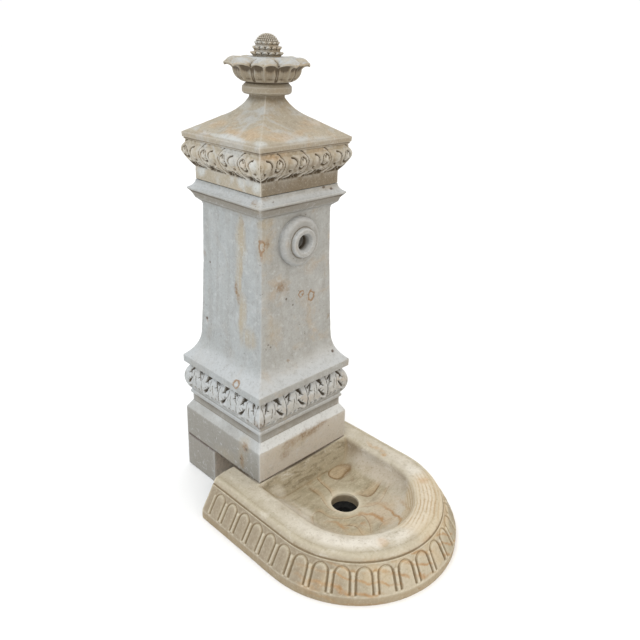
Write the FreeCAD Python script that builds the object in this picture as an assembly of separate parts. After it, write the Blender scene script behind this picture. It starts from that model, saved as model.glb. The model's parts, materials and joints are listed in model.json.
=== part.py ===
# Pillar drinking fountain in carved sandstone: a square pillar with a moulded cap and a lotus
# finial, standing on a D-shaped basin and a rear base block, with its water supply, isolating
# valve and drain fittings inside.
# Units are millimetres. +Z is up and the pillar's front face looks along -Y. The origin is on
# the ground at the pillar's axis, which is also the axis of the supply pipe.
import FreeCAD, Part
import math
import os

V = FreeCAD.Vector
X_AXIS = V(1, 0, 0)
Y_AXIS = V(0, 1, 0)
Z_AXIS = V(0, 0, 1)

# ---- driving dimensions: stone ----
JOINT = 2.0                     # thickness of each mortar bed
JOINT_SETBACK = 5.0             # how far each bed stays behind the stone's face

BASIN_TOP = 115.2               # height of the basin's rim
BASIN_BACK_Y = -64.2            # flat back of the basin
BASIN_CENTRE_Y = -370.0         # centre of the basin's half-round front
APRON_FOOT_W = 296.8            # half width at the ground
APRON_FOOT_Z = 26.0             # height of the plain vertical foot
APRON_HEAD_W = 257.0            # half width where the sloping apron meets the rim
APRON_HEAD_Z = 95.0
RIM_LIP_W = 178.0               # half width of the bowl at its lip
BOWL_BACK_Y = -177.0            # lip of the bowl at the pillar's foot
BOWL_FLOOR_Z = 56.0             # bowl floor beside the drain
BOWL_FLOOR_W = 112.0            # half width where the bowl's wall meets its floor
DRAIN_Y = -345.5
DRAIN_R = 39.4
DRAIN_LEDGE_Z = 28.0            # underside of the stone round the drain hole
DRAIN_POCKET_R = 50.0           # pocket under the basin for the drain fitting

FLUTES = 26                     # arched tongues carved round the apron
FLUTE_FIRST_Y = -114.0          # centre of the first tongue from the back
FLUTE_W = 43.0                  # outside width of a tongue's groove
FLUTE_GROOVE = 4.5              # width of the groove
FLUTE_DEPTH = 3.5

REAR_FRONT_Y = 36.4             # front of the rear base block
BASE_W = 175.5                  # half width of the pillar's plinth
BASE_BOTTOM = BASIN_TOP + JOINT
PLINTH_TOP = 210.0
FILLET_W = 160.0
FILLET_BOTTOM = 236.0
ASTRAGAL_BOTTOM = 259.0
ASTRAGAL_TOP = 272.0
BAND_BELLY_W = 176.5            # widest part of the acanthus band
BASE_TOP = 367.2

SHAFT_BOTTOM = BASE_TOP + JOINT
FLARE_W = 178.0                 # half width of the flared plate at the shaft's foot
FLARE_PLATE_TOP = 390.0
FLARE_TOP = 472.0
SHAFT_FOOT_W = 137.0
SHAFT_HEAD_W = 126.0
SHAFT_HEAD_Z = 858.0
NECK_LIP_W = 156.0
SHAFT_TOP = 927.0

CAP_BOTTOM = SHAFT_TOP + JOINT
FRIEZE_W = 137.5
EAVE_W = 162.0
EAVE_BOTTOM = 1041.0
EAVE_TOP = 1055.0
ROOF_NECK_W = 34.0
ROOF_TOP = 1157.0

FINIAL_BOTTOM = ROOF_TOP + JOINT
COLLAR_R = 65.0
PETALS = 8
PETAL_R = 112.0
CONE_R = 30.0                   # radius of the pine cone where its domed top begins
CONE_TOP = 1287.0
FINIAL_TOP = 1306.5

ROSE_Z = 787.0                  # height of the water outlet
ROSE_R = 68.0
ROSE_RING_R = 43.0
ROSE_HOLE_R = 20.0
ROSE_FACE_Y = -148.0            # front of the rose's plain disc
ROSE_RING_Y = -160.0            # front of the rose's raised ring

# ---- driving dimensions: fixings and pipework ----
CORE_R = 24.0                   # bore up the middle of the pillar
CORE_TOP = 815.0
OUTLET_BORE_R = 16.0
DOWEL_R = 6.0
DOWEL_HOLE_R = 6.2
DOWEL_HALF = 40.0               # length of dowel in each stone

PIPE_R = 7.5                    # 15 mm copper tube
PIPE_BORE_R = 6.8
SOCKET_BORE_R = 7.55            # socket that the tube slides into
SUPPLY_R = 9.0                  # wide end of the reducer at the ground, as 18 mm tube
SUPPLY_WALL = 1.0
SUPPLY_LENGTH = 14.0            # length of that wide end
VALVE_Z = 60.0
VALVE_CENTRE = V(0, 0, VALVE_Z)
CHAMBER_R = 12.0                # chamber that the ball and its seats sit in
SEAT_OUT = 10.0                 # distance of each seat's flat back from the ball's centre
END_Z = 32.0                    # distance of each spigot's mouth from the ball's centre
BALL_R = 9.0
RUNNING_GAP = 0.05              # radial clearance of everything that turns
STEM_R = 4.0
SPIGOT_R = 11.0                 # threaded ends of the valve
NUT_FLATS = 25.0
HANDLE_REACH = 28.0
THREAD_R = 9.3                  # bore of the G 1/2 outlet thread
SOCKET_MOUTH_Y = -118.0         # front of the outlet socket, deep inside the rose's hole
SOCKET_DEPTH = 18.0             # length of its thread
ELBOW_R = 9.2
BEND_R = 13.0                   # bend radius of the elbow at the top of the riser
ELBOW_SOCKET = 14.0             # how far each tube goes into the elbow
WASTE_R = 25.1                  # socket for a 50 mm waste pipe


def face_of(edges):
    return Part.Face(Part.Wire(Part.__sortEdges__(edges)))


def edges_through(points):
    """Lines through the points; a point given with a second one is the far end of an arc
    that passes through the first of the two."""
    edges = []
    here = points[0]
    for step in points[1:]:
        if isinstance(step, tuple):
            middle, end = step
            edges.append(Part.Arc(here, middle, end).toShape())
            here = end
        else:
            edges.append(Part.LineSegment(here, step).toShape())
            here = step
    return edges


def at(w, z):
    """A point of a half section: half width and height."""
    return V(w, 0, z)


def arc(middle_w, middle_z, end_w, end_z):
    return (at(middle_w, middle_z), at(end_w, end_z))


def dome(end_w, end_z, top):
    """The way up a dome that is part of a sphere on the axis, from its edge to its top."""
    rise = top - end_z
    radius = (end_w ** 2 + rise ** 2) / (2 * rise)
    turn = math.asin(end_w / radius) / 2
    return arc(radius * math.sin(turn), top - radius * (1 - math.cos(turn)), 0, top)


def symmetric_section(points):
    """A closed face from a half outline that runs from its lowest to its highest point."""
    right = edges_through(points)
    left = [edge.mirror(V(0, 0, 0), X_AXIS) for edge in right]
    ends = []
    for end in (points[0], right[-1].Vertexes[-1].Point):
        ends.append(Part.LineSegment(V(-end.x, 0, end.z), V(end.x, 0, end.z)).toShape())
    return face_of(right + left + ends)


def square_stone(points):
    """A stone of square plan whose half outline is the same on all four sides."""
    reach = 2 * max(p[1].x if isinstance(p, tuple) else p.x for p in points)
    section = symmetric_section(points)
    section.translate(V(0, -reach, 0))
    along_y = section.extrude(V(0, 2 * reach, 0))
    along_x = along_y.copy()
    along_x.rotate(V(0, 0, 0), Z_AXIS, 90)
    return along_y.common(along_x)


def turned(points, axis=Z_AXIS):
    """A body of revolution from a closed half outline, in radius and height. The axis is Z,
    or -Y for the parts whose front looks out of the pillar."""
    solid = face_of(edges_through(points + [points[0]])).revolve(V(0, 0, 0), Z_AXIS, 360)
    if axis == Y_AXIS:
        solid.rotate(V(0, 0, 0), X_AXIS, 90)
    return solid


def ring(outer_r, inner_r, low, high):
    return turned([at(inner_r, low), at(outer_r, low), at(outer_r, high), at(inner_r, high)])


def rod(radius, start, end):
    return Part.makeCylinder(radius, (end - start).Length, start, end - start)


def slab(x0, x1, y0, y1, z0, z1):
    return Part.makeBox(x1 - x0, y1 - y0, z1 - z0, V(x0, y0, z0))


def at_height(shape, z):
    shape.translate(V(0, 0, z))
    return shape


# ---- dowels ----
DOWEL_PLACES = {
    "basin": [V(side * 110, -110, BASIN_TOP + JOINT / 2) for side in (-1, 1)],
    "rear": [V(side * 110, 110, BASIN_TOP + JOINT / 2) for side in (-1, 1)],
    "shaft": [V(side * 78, 0, BASE_TOP + JOINT / 2) for side in (-1, 1)],
    "cap": [V(side * 78, 0, SHAFT_TOP + JOINT / 2) for side in (-1, 1)],
    "finial": [V(0, 0, ROOF_TOP + JOINT / 2)],
}


def dowels(joint, radius, half=DOWEL_HALF):
    reach = V(0, 0, half)
    rods = [rod(radius, place - reach, place + reach) for place in DOWEL_PLACES[joint]]
    return Part.makeCompound(rods)


def drilled(stone, *joints):
    for joint in joints:
        stone = stone.cut(dowels(joint, DOWEL_HOLE_R, DOWEL_HALF + 2))
    return stone


def mortar_bed(half_width, z, joint, y0=None, y1=None):
    """A thin bed under a square stone, set back from its faces and drilled for the dowels."""
    side = half_width - JOINT_SETBACK
    front = -side if y0 is None else y0
    back = side if y1 is None else y1
    return drilled(slab(-side, side, front, back, z, z + JOINT), joint)


# ---- basin ----
def d_shaped(points, back_y):
    """A half outline swept round the D plan: straight sides, then a half-round front."""
    section = symmetric_section(points)
    section.translate(V(0, BASIN_CENTRE_Y, 0))
    straight = section.extrude(V(0, back_y - BASIN_CENTRE_Y, 0))
    top = points[-1][1] if isinstance(points[-1], tuple) else points[-1]
    half = edges_through(points + [at(0, top.z), at(0, points[0].z), points[0]])
    front = face_of(half)
    front.translate(V(0, BASIN_CENTRE_Y, 0))
    front = front.revolve(V(0, BASIN_CENTRE_Y, 0), Z_AXIS, -180)
    return straight.fuse(front).removeSplitter()


def along_rim(half_width, distance):
    """Place and outward direction at a distance along the D, from its left back corner."""
    straight = BASIN_BACK_Y - BASIN_CENTRE_Y
    arc_length = math.pi * half_width
    if distance < straight:
        return V(-half_width, BASIN_BACK_Y - distance, 0), V(-1, 0, 0)
    if distance > straight + arc_length:
        y = BASIN_CENTRE_Y + distance - straight - arc_length
        return V(half_width, y, 0), V(1, 0, 0)
    turn = (distance - straight) / half_width
    outward = V(-math.cos(turn), -math.sin(turn), 0)
    return V(0, BASIN_CENTRE_Y, 0) + outward * half_width, outward


def flute_groove():
    """The groove round one tongue, lying in the XY plane with its arch towards +Y."""
    low, high = 5.0, 73.0

    def arch(width, end):
        half = width / 2
        straight_end = end - half
        outline = [
            V(-half, low, 0),
            V(half, low, 0),
            V(half, straight_end, 0),
            (V(0, end, 0), V(-half, straight_end, 0)),
            V(-half, low, 0),
        ]
        return face_of(edges_through(outline)).extrude(V(0, 0, 2 * FLUTE_DEPTH))

    inner = arch(FLUTE_W - 2 * FLUTE_GROOVE, high - FLUTE_GROOVE)
    return at_height(arch(FLUTE_W, high).cut(inner), -FLUTE_DEPTH)


def flute_grooves():
    run_in = APRON_FOOT_W - APRON_HEAD_W
    rise = APRON_HEAD_Z - APRON_FOOT_Z
    slope_length = math.hypot(run_in, rise)
    line_w = APRON_HEAD_W + 6
    first = BASIN_BACK_Y - FLUTE_FIRST_Y
    path = 2 * (BASIN_BACK_Y - BASIN_CENTRE_Y) + math.pi * line_w
    pitch = (path - 2 * first) / (FLUTES - 1)
    grooves = []
    for index in range(FLUTES):
        place, outward = along_rim(line_w, first + index * pitch)
        foot = place + outward * (APRON_FOOT_W - line_w) + Z_AXIS * APRON_FOOT_Z
        up_slope = (Z_AXIS * rise - outward * run_in) / slope_length
        normal = (Z_AXIS * run_in + outward * rise) / slope_length
        sideways = up_slope.cross(normal)
        turn = FreeCAD.Rotation(sideways, up_slope, normal, "XYZ")
        groove = flute_groove()
        groove.Placement = FreeCAD.Placement(foot, turn).multiply(groove.Placement)
        grooves.append(groove)
    return Part.makeCompound(grooves)


def basin():
    outside = d_shaped([
        at(APRON_FOOT_W, 0),
        at(APRON_FOOT_W, APRON_FOOT_Z),
        at(APRON_HEAD_W, APRON_HEAD_Z),
        at(APRON_HEAD_W - 3, APRON_HEAD_Z + 1),
        arc(247, 108.5, 222, BASIN_TOP),
    ], BASIN_BACK_Y)
    bowl = d_shaped([
        at(8, BOWL_FLOOR_Z - 1.2),
        at(BOWL_FLOOR_W, BOWL_FLOOR_Z + 4),
        arc(BOWL_FLOOR_W + 38, 78, RIM_LIP_W - 7, BASIN_TOP - 6),
        arc(RIM_LIP_W - 4, BASIN_TOP - 2, RIM_LIP_W + 4, BASIN_TOP),
        at(RIM_LIP_W + 4, BASIN_TOP + 5),
    ], BASIN_BACK_Y)
    back_wall = slab(-300, 300, BOWL_BACK_Y - 60, 0, 0, BASIN_TOP + 20)
    back_wall = back_wall.cut(back_slope())
    stone = outside.cut(bowl.cut(back_wall))
    drain = rod(DRAIN_R, V(0, DRAIN_Y, -1), V(0, DRAIN_Y, BASIN_TOP))
    pocket = rod(DRAIN_POCKET_R, V(0, DRAIN_Y, -1), V(0, DRAIN_Y, DRAIN_LEDGE_Z))
    return drilled(stone.cut(drain).cut(pocket).cut(flute_grooves()), "basin")


def back_slope():
    """The room in front of the bowl's sloping back wall."""
    foot_y = BOWL_BACK_Y - 46
    outline = [
        V(0, BOWL_BACK_Y - 60, 0),
        V(0, foot_y, 0),
        V(0, foot_y, BOWL_FLOOR_Z),
        V(0, BOWL_BACK_Y, BASIN_TOP + 0.5),
        V(0, BOWL_BACK_Y, BASIN_TOP + 20),
        V(0, BOWL_BACK_Y - 60, BASIN_TOP + 20),
        V(0, BOWL_BACK_Y - 60, 0),
    ]
    room = face_of(edges_through(outline)).extrude(V(600, 0, 0))
    room.translate(V(-300, 0, 0))
    return room


# ---- pillar ----
def rear_base_block():
    return drilled(slab(-BASE_W, BASE_W, REAR_FRONT_Y, BASE_W, 0, BASIN_TOP), "rear")


def base_block():
    stone = square_stone([
        at(BASE_W, BASE_BOTTOM),
        at(BASE_W, PLINTH_TOP),
        at(FILLET_W, FILLET_BOTTOM),
        at(FILLET_W, ASTRAGAL_BOTTOM),
        at(FILLET_W + 2, ASTRAGAL_BOTTOM),
        arc(FILLET_W + 5, (ASTRAGAL_BOTTOM + ASTRAGAL_TOP) / 2, FILLET_W + 2, ASTRAGAL_TOP),
        arc(BAND_BELLY_W, 304, FILLET_W + 3, 357),
        at(FILLET_W + 1, BASE_TOP),
    ])
    core = rod(CORE_R, V(0, 0, BASE_BOTTOM - 1), V(0, 0, BASE_TOP + 1))
    return drilled(stone.cut(core), "basin", "rear", "shaft")


def outlet_bores():
    """The bore up the pillar and the two steps of the bore out to the rose."""
    core = rod(CORE_R, V(0, 0, SHAFT_BOTTOM - 1), V(0, 0, CORE_TOP))
    outlet = rod(OUTLET_BORE_R, V(0, 0, ROSE_Z), V(0, -NECK_LIP_W, ROSE_Z))
    mouth = rod(ROSE_HOLE_R, V(0, SOCKET_MOUTH_Y, ROSE_Z), V(0, -NECK_LIP_W, ROSE_Z))
    return core.fuse(outlet).fuse(mouth)


def shaft_stone():
    """The shaft block before it is drilled."""
    return square_stone([
        at(FLARE_W, SHAFT_BOTTOM),
        at(FLARE_W, FLARE_PLATE_TOP),
        arc(149, 426, SHAFT_FOOT_W, FLARE_TOP),
        arc(129.3, 670, SHAFT_HEAD_W, SHAFT_HEAD_Z),
        at(SHAFT_HEAD_W + 2, 866),
        at(SHAFT_HEAD_W + 9, 872),
        at(SHAFT_HEAD_W + 15, 877),
        arc(145, 887, 152, 897),
        at(NECK_LIP_W, 901),
        at(NECK_LIP_W, 905),
        arc(145, 912, FRIEZE_W + 1, SHAFT_TOP),
    ])


def shaft_block():
    return drilled(shaft_stone().cut(outlet_bores()), "shaft", "cap")


def outlet_rose():
    rose = turned([
        at(ROSE_HOLE_R, 110),
        at(ROSE_R, 110),
        at(ROSE_R, -ROSE_FACE_Y - 8),
        arc(ROSE_R - 2.4, -ROSE_FACE_Y - 2.4, ROSE_R - 8, -ROSE_FACE_Y),
        at(ROSE_RING_R + 1, -ROSE_FACE_Y),
        arc((ROSE_RING_R + ROSE_HOLE_R) / 2 + 8, -ROSE_RING_Y - 1.5,
            (ROSE_RING_R + ROSE_HOLE_R) / 2, -ROSE_RING_Y),
        arc(ROSE_HOLE_R + 3, -ROSE_RING_Y - 3, ROSE_HOLE_R, -ROSE_FACE_Y),
    ], Y_AXIS)
    return at_height(rose, ROSE_Z).cut(shaft_stone())


def cap_block():
    stone = square_stone([
        at(FRIEZE_W, CAP_BOTTOM),
        at(FRIEZE_W, 963),
        arc(150, 979, 163, 1003),
        arc(163, 1015, 156, 1026),
        at(155, 1035),
        at(158, 1036),
        at(158, EAVE_BOTTOM),
        at(EAVE_W, EAVE_BOTTOM),
        at(EAVE_W, EAVE_TOP),
        at(86, 1099),
        arc(52, 1124, ROOF_NECK_W, 1150),
        at(ROOF_NECK_W, ROOF_TOP),
    ])
    return drilled(stone, "cap", "finial")


def finial():
    stone = turned([
        at(0, FINIAL_BOTTOM),
        at(COLLAR_R - 4, FINIAL_BOTTOM),
        at(COLLAR_R, FINIAL_BOTTOM + 4),
        at(COLLAR_R, 1177),
        at(56, 1186),
        at(54, 1189),
        arc(80, 1198, 90, 1220),
        arc(96, 1226, PETAL_R - 2, 1227),
        arc(PETAL_R, 1230, PETAL_R - 2, 1233),
        arc(100, 1245.5, 80, 1250),
        at(CONE_R + 5, 1250),
        at(CONE_R + 14, 1259),
        at(CONE_R + 13, 1261.5),
        at(CONE_R + 3, 1262.5),
        at(CONE_R + 8.5, 1272),
        at(CONE_R + 7.5, 1275),
        at(CONE_R - 1, 1276),
        at(CONE_R + 3, 1283.5),
        at(CONE_R + 2, 1286),
        at(CONE_R, CONE_TOP),
        dome(CONE_R, CONE_TOP, FINIAL_TOP),
    ])
    notches = []
    for index in range(PETALS):
        turn = math.radians((index + 0.5) * 360 / PETALS)
        outward = V(math.cos(turn), math.sin(turn), 0)
        start = outward * (PETAL_R + 4) + Z_AXIS * 1222
        notches.append(rod(14, start, start + Z_AXIS * 30))
    return drilled(stone.cut(Part.makeCompound(notches)), "finial")


# ---- valve under the plinth ----

def vertical(radius, z0, z1):
    return rod(radius, V(0, 0, z0), V(0, 0, z1))


def towards_key(radius, x0, x1):
    """A rod along the valve's stem axis, which points to the open left side."""
    return rod(radius, V(x0, 0, VALVE_Z), V(x1, 0, VALVE_Z))


def ball_space():
    return Part.makeSphere(BALL_R + RUNNING_GAP, VALVE_CENTRE)


def hex_nut(z0, z1):
    corner = NUT_FLATS / math.sqrt(3)
    points = [V(corner * math.cos(k * math.pi / 3), corner * math.sin(k * math.pi / 3), z0)
              for k in range(7)]
    return Part.Face(Part.makePolygon(points)).extrude(V(0, 0, z1 - z0))


def valve_body():
    """The body holds the ball's chamber, open at the top for the screwed end piece."""
    shape = vertical(16, VALVE_Z - 14, VALVE_Z + 18).fuse(
        vertical(SPIGOT_R, VALVE_Z - END_Z, VALVE_Z))
    shape = shape.fuse(towards_key(8.5, 0, -24))
    shape = shape.cut(vertical(CHAMBER_R, VALVE_Z - SEAT_OUT, VALVE_Z + 19))
    shape = shape.cut(vertical(PIPE_BORE_R, VALVE_Z - END_Z - 1, VALVE_Z))
    shape = shape.cut(vertical(SOCKET_BORE_R, VALVE_Z - END_Z - 1, VALVE_Z - 16))
    shape = shape.cut(towards_key(STEM_R + RUNNING_GAP, 0, -25))
    return shape.cut(towards_key(6.5, -17, -25))


def valve_end():
    """The end piece screws into the body and holds the ball between its seats."""
    shape = vertical(CHAMBER_R, VALVE_Z + SEAT_OUT, VALVE_Z + 18)
    shape = shape.fuse(vertical(14, VALVE_Z + 18, VALVE_Z + 22))
    shape = shape.fuse(vertical(SPIGOT_R, VALVE_Z + 20, VALVE_Z + END_Z))
    shape = shape.cut(vertical(PIPE_BORE_R, VALVE_Z, VALVE_Z + END_Z + 1))
    return shape.cut(vertical(SOCKET_BORE_R, VALVE_Z + 16, VALVE_Z + END_Z + 1))


def valve_seats():
    low = ring(CHAMBER_R, PIPE_BORE_R, VALVE_Z - SEAT_OUT, VALVE_Z - 4.5)
    high = ring(CHAMBER_R, PIPE_BORE_R, VALVE_Z + 4.5, VALVE_Z + SEAT_OUT)
    return Part.makeCompound([low.cut(ball_space()), high.cut(ball_space())])


def stem_tang():
    """The flat tang on the stem's end, which turns the ball."""
    return slab(-BALL_R - 1, -BALL_R + 3, -1.5, 1.5, VALVE_Z - 3, VALVE_Z + 3)


def valve_ball():
    ball = Part.makeSphere(BALL_R, VALVE_CENTRE)
    ball = ball.cut(vertical(PIPE_BORE_R - 1.3, VALVE_Z - 12, VALVE_Z + 12))
    return ball.cut(stem_tang())


def valve_stem():
    stem = towards_key(STEM_R, -BALL_R - 0.1, -38)
    stem = stem.cut(rod(2, V(-30, 0, VALVE_Z), V(-39, 0, VALVE_Z)))
    return stem.fuse(stem_tang())


def stem_packing():
    outer = towards_key(6.5, -17, -22)
    return outer.cut(towards_key(STEM_R + RUNNING_GAP, -16, -23))


def gland_nut():
    shape = towards_key(6.5, -22, -24).fuse(towards_key(8.5, -24, -28))
    return shape.cut(towards_key(STEM_R + RUNNING_GAP, -21, -29))


def valve_handle():
    hub = towards_key(7.5, -30, -38)
    wings = slab(-37, -33, -5, 5, VALVE_Z - HANDLE_REACH + 5, VALVE_Z + HANDLE_REACH - 5)
    for side in (-1, 1):
        tip = V(-33, 0, VALVE_Z + side * (HANDLE_REACH - 5))
        wings = wings.fuse(rod(5, tip, tip + V(-4, 0, 0)))
    return hub.fuse(wings).removeSplitter().cut(towards_key(STEM_R, -29, -39))


def handle_screw():
    head = towards_key(3.8, -38, -41)
    slot = slab(-42, -40, -0.6, 0.6, VALVE_Z - 5, VALVE_Z + 5)
    return head.fuse(towards_key(2, -32, -38)).cut(slot)


def compression_nut(side):
    """One nut; side is -1 below the valve and 1 above it."""
    mouth = END_Z + 4
    z0, z1 = sorted((VALVE_Z + side * (mouth + 3), VALVE_Z + side * (END_Z - 8)))
    nut = hex_nut(z0, z1).cut(vertical(SOCKET_BORE_R, z0 - 1, z1 + 1))
    inner = sorted((VALVE_Z + side * mouth, VALVE_Z + side * (END_Z - 9)))
    return nut.cut(vertical(SPIGOT_R, inner[0], inner[1]))


def compression_olive(side):
    z0, z1 = sorted((VALVE_Z + side * END_Z, VALVE_Z + side * (END_Z + 4)))
    return ring(SPIGOT_R - 0.5, PIPE_R, z0, z1)


# ---- pipework ----
def tube(start, end):
    return rod(PIPE_R, start, end).cut(rod(PIPE_BORE_R, start, end))


def supply_pipe():
    """A reducer: its wide end meets the supply at the ground, its narrow end the valve."""
    narrow_z = SUPPLY_LENGTH + 4
    top = VALVE_Z - 16
    return turned([
        at(SUPPLY_R - SUPPLY_WALL, 0),
        at(SUPPLY_R, 0),
        at(SUPPLY_R, SUPPLY_LENGTH),
        at(PIPE_R, narrow_z),
        at(PIPE_R, top),
        at(PIPE_BORE_R, top),
        at(PIPE_BORE_R, narrow_z),
        at(SUPPLY_R - SUPPLY_WALL, SUPPLY_LENGTH),
    ])


def riser_pipe():
    return tube(V(0, 0, VALVE_Z + 16), V(0, 0, ROSE_Z - BEND_R))


def outlet_pipe():
    return tube(V(0, -BEND_R, ROSE_Z), V(0, SOCKET_MOUTH_Y + SOCKET_DEPTH + 2, ROSE_Z))


def elbow_bend(radius):
    """A round bar bent from the top of the riser to the start of the outlet pipe."""
    start = V(0, 0, ROSE_Z - BEND_R)
    end_face = Part.Face(Part.Wire(Part.makeCircle(radius, start, Z_AXIS)))
    return end_face.revolve(start - Y_AXIS * BEND_R, X_AXIS, 90)


def elbow_sockets(radius):
    low = V(0, 0, ROSE_Z - BEND_R)
    front = V(0, -BEND_R, ROSE_Z)
    return (rod(radius, low, low - Z_AXIS * ELBOW_SOCKET),
            rod(radius, front, front - Y_AXIS * ELBOW_SOCKET))


def outlet_elbow():
    shape = elbow_bend(ELBOW_R)
    for socket in elbow_sockets(ELBOW_R):
        shape = shape.fuse(socket)
    shape = shape.cut(elbow_bend(PIPE_BORE_R))
    for socket in elbow_sockets(PIPE_R):
        shape = shape.cut(socket)
    return shape


def outlet_socket():
    y0 = -SOCKET_MOUTH_Y
    socket = turned([
        at(THREAD_R, y0),
        at(13, y0),
        at(13, y0 - SOCKET_DEPTH - 4),
        at(10, y0 - SOCKET_DEPTH - 6),
        at(10, y0 - SOCKET_DEPTH - 16),
        at(PIPE_R, y0 - SOCKET_DEPTH - 16),
        at(PIPE_R, y0 - SOCKET_DEPTH),
        at(THREAD_R, y0 - SOCKET_DEPTH),
    ], Y_AXIS)
    return at_height(socket, ROSE_Z)


def socket_grout():
    y0 = -SOCKET_MOUTH_Y
    grout = turned([
        at(13, y0 - 1),
        at(OUTLET_BORE_R, y0 - 1),
        at(OUTLET_BORE_R, y0 - SOCKET_DEPTH - 3),
        at(13, y0 - SOCKET_DEPTH - 3),
    ], Y_AXIS)
    return at_height(grout, ROSE_Z)


def pipe_lagging():
    return ring(15, PIPE_R, BASE_BOTTOM + 3, ROSE_Z - BEND_R - ELBOW_SOCKET - 4)


# ---- drain ----
def drain_tail():
    tail = turned([
        at(WASTE_R, 0),
        at(30, 0),
        at(30, 20),
        at(DRAIN_POCKET_R - 3, 22),
        at(DRAIN_POCKET_R - 3, DRAIN_LEDGE_Z - 2),
        at(DRAIN_R - 1, DRAIN_LEDGE_Z - 2),
        at(23, 20),
        at(WASTE_R, 20),
    ])
    tail.translate(V(0, DRAIN_Y, 0))
    return tail


def drain_seal():
    seal = ring(DRAIN_POCKET_R - 3, DRAIN_R + 1, DRAIN_LEDGE_Z - 2, DRAIN_LEDGE_Z)
    seal.translate(V(0, DRAIN_Y, 0))
    return seal


def cored_bed(half_width, z, joint):
    return mortar_bed(half_width, z, joint).cut(vertical(CORE_R, z - 1, z + JOINT + 1))


PARTS = {
    "basin": basin(),
    "rear_base_block": rear_base_block(),
    "base_block": base_block(),
    "shaft_block": shaft_block(),
    "outlet_rose": outlet_rose(),
    "cap_block": cap_block(),
    "finial": finial(),
    "basin_bed": mortar_bed(BASE_W, BASIN_TOP, "basin",
                            y0=JOINT_SETBACK - BASE_W, y1=BASIN_BACK_Y - JOINT_SETBACK),
    "rear_bed": mortar_bed(BASE_W, BASIN_TOP, "rear", y0=REAR_FRONT_Y + JOINT_SETBACK),
    "shaft_bed": cored_bed(FILLET_W + 1, BASE_TOP, "shaft"),
    "cap_bed": mortar_bed(FRIEZE_W, SHAFT_TOP, "cap"),
    "finial_bed": mortar_bed(ROOF_NECK_W, ROOF_TOP, "finial"),
    "stone_dowels": Part.makeCompound([
        dowels(joint, DOWEL_R) for joint in ("basin", "rear", "shaft", "cap")]),
    "finial_dowel": dowels("finial", DOWEL_R),
    "supply_pipe": supply_pipe(),
    "valve_body": valve_body(),
    "valve_end": valve_end(),
    "valve_seats": valve_seats(),
    "valve_ball": valve_ball(),
    "valve_stem": valve_stem(),
    "stem_packing": stem_packing(),
    "gland_nut": gland_nut(),
    "valve_handle": valve_handle(),
    "handle_screw": handle_screw(),
    "compression_nuts": Part.makeCompound([compression_nut(-1), compression_nut(1)]),
    "compression_olives": Part.makeCompound([compression_olive(-1), compression_olive(1)]),
    "riser_pipe": riser_pipe(),
    "pipe_lagging": pipe_lagging(),
    "outlet_elbow": outlet_elbow(),
    "outlet_pipe": outlet_pipe(),
    "outlet_socket": outlet_socket(),
    "socket_grout": socket_grout(),
    "drain_tail": drain_tail(),
    "drain_seal": drain_seal(),
}

os.makedirs("parts", exist_ok=True)
for name, shape in PARTS.items():
    shape.exportStep("parts/" + name + ".step")
    box = shape.BoundBox
    print("%-20s solids %d valid %s  volume %.0f cm3  x %.1f..%.1f y %.1f..%.1f z %.1f..%.1f" % (
        name, len(shape.Solids), shape.isValid(), shape.Volume / 1000,
        box.XMin, box.XMax, box.YMin, box.YMax, box.ZMin, box.ZMax))
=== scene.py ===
import json
import math

import bpy
import numpy as np
from mathutils import Matrix, Vector


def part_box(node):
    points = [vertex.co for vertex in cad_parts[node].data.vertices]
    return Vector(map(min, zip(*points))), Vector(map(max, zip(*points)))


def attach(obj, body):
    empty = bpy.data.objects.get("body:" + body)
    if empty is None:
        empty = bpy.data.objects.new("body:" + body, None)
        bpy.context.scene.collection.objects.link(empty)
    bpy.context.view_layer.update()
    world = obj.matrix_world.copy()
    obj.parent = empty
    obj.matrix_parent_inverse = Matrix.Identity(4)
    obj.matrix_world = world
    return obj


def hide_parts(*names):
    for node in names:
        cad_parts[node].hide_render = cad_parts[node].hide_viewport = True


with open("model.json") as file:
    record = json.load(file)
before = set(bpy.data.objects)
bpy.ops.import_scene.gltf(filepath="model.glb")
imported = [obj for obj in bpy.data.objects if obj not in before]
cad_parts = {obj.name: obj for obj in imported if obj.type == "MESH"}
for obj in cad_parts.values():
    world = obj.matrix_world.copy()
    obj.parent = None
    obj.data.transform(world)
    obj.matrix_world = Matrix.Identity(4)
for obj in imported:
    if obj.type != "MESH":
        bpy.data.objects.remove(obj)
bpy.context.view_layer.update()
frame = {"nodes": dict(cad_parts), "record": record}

MM = 0.001


# ---- sizes taken from the frame, mm
def node_box(name):
    low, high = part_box(name)
    return np.array(low) / MM, np.array(high) / MM


BASIN_LOW, BASIN_HIGH = node_box("basin")
BASE_LOW, BASE_HIGH = node_box("base_block")
SHAFT_LOW, SHAFT_HIGH = node_box("shaft_block")
CAP_LOW, CAP_HIGH = node_box("cap_block")
FINIAL_LOW, FINIAL_HIGH = node_box("finial")
REAR_LOW, REAR_HIGH = node_box("rear_base_block")
ROSE_LOW, ROSE_HIGH = node_box("outlet_rose")
SEAL_HIGH = node_box("drain_seal")[1]
SOCKET_LOW = node_box("outlet_socket")[0]
OUTLET_Z = (ROSE_LOW[2] + ROSE_HIGH[2]) / 2

CORE_R = 24.0                   # bore up the middle of the pillar for the riser pipe
CORE_TOP = 815.0                # where that bore ends, above the outlet
PILLAR_LIMIT = 177.8            # nothing on the pillar's stones stands out further than this
SHARP = math.radians(40)        # faces that meet at more than this are shaded as an edge


# ---- numbers
def smooth(edge0, edge1, x):
    t = np.clip((x - edge0) / (edge1 - edge0), 0, 1)
    return t * t * (3 - 2 * t)


def bump(x, width):
    """A soft hill of height 1 at x = 0."""
    return np.exp(-(x / width) ** 2)


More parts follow.
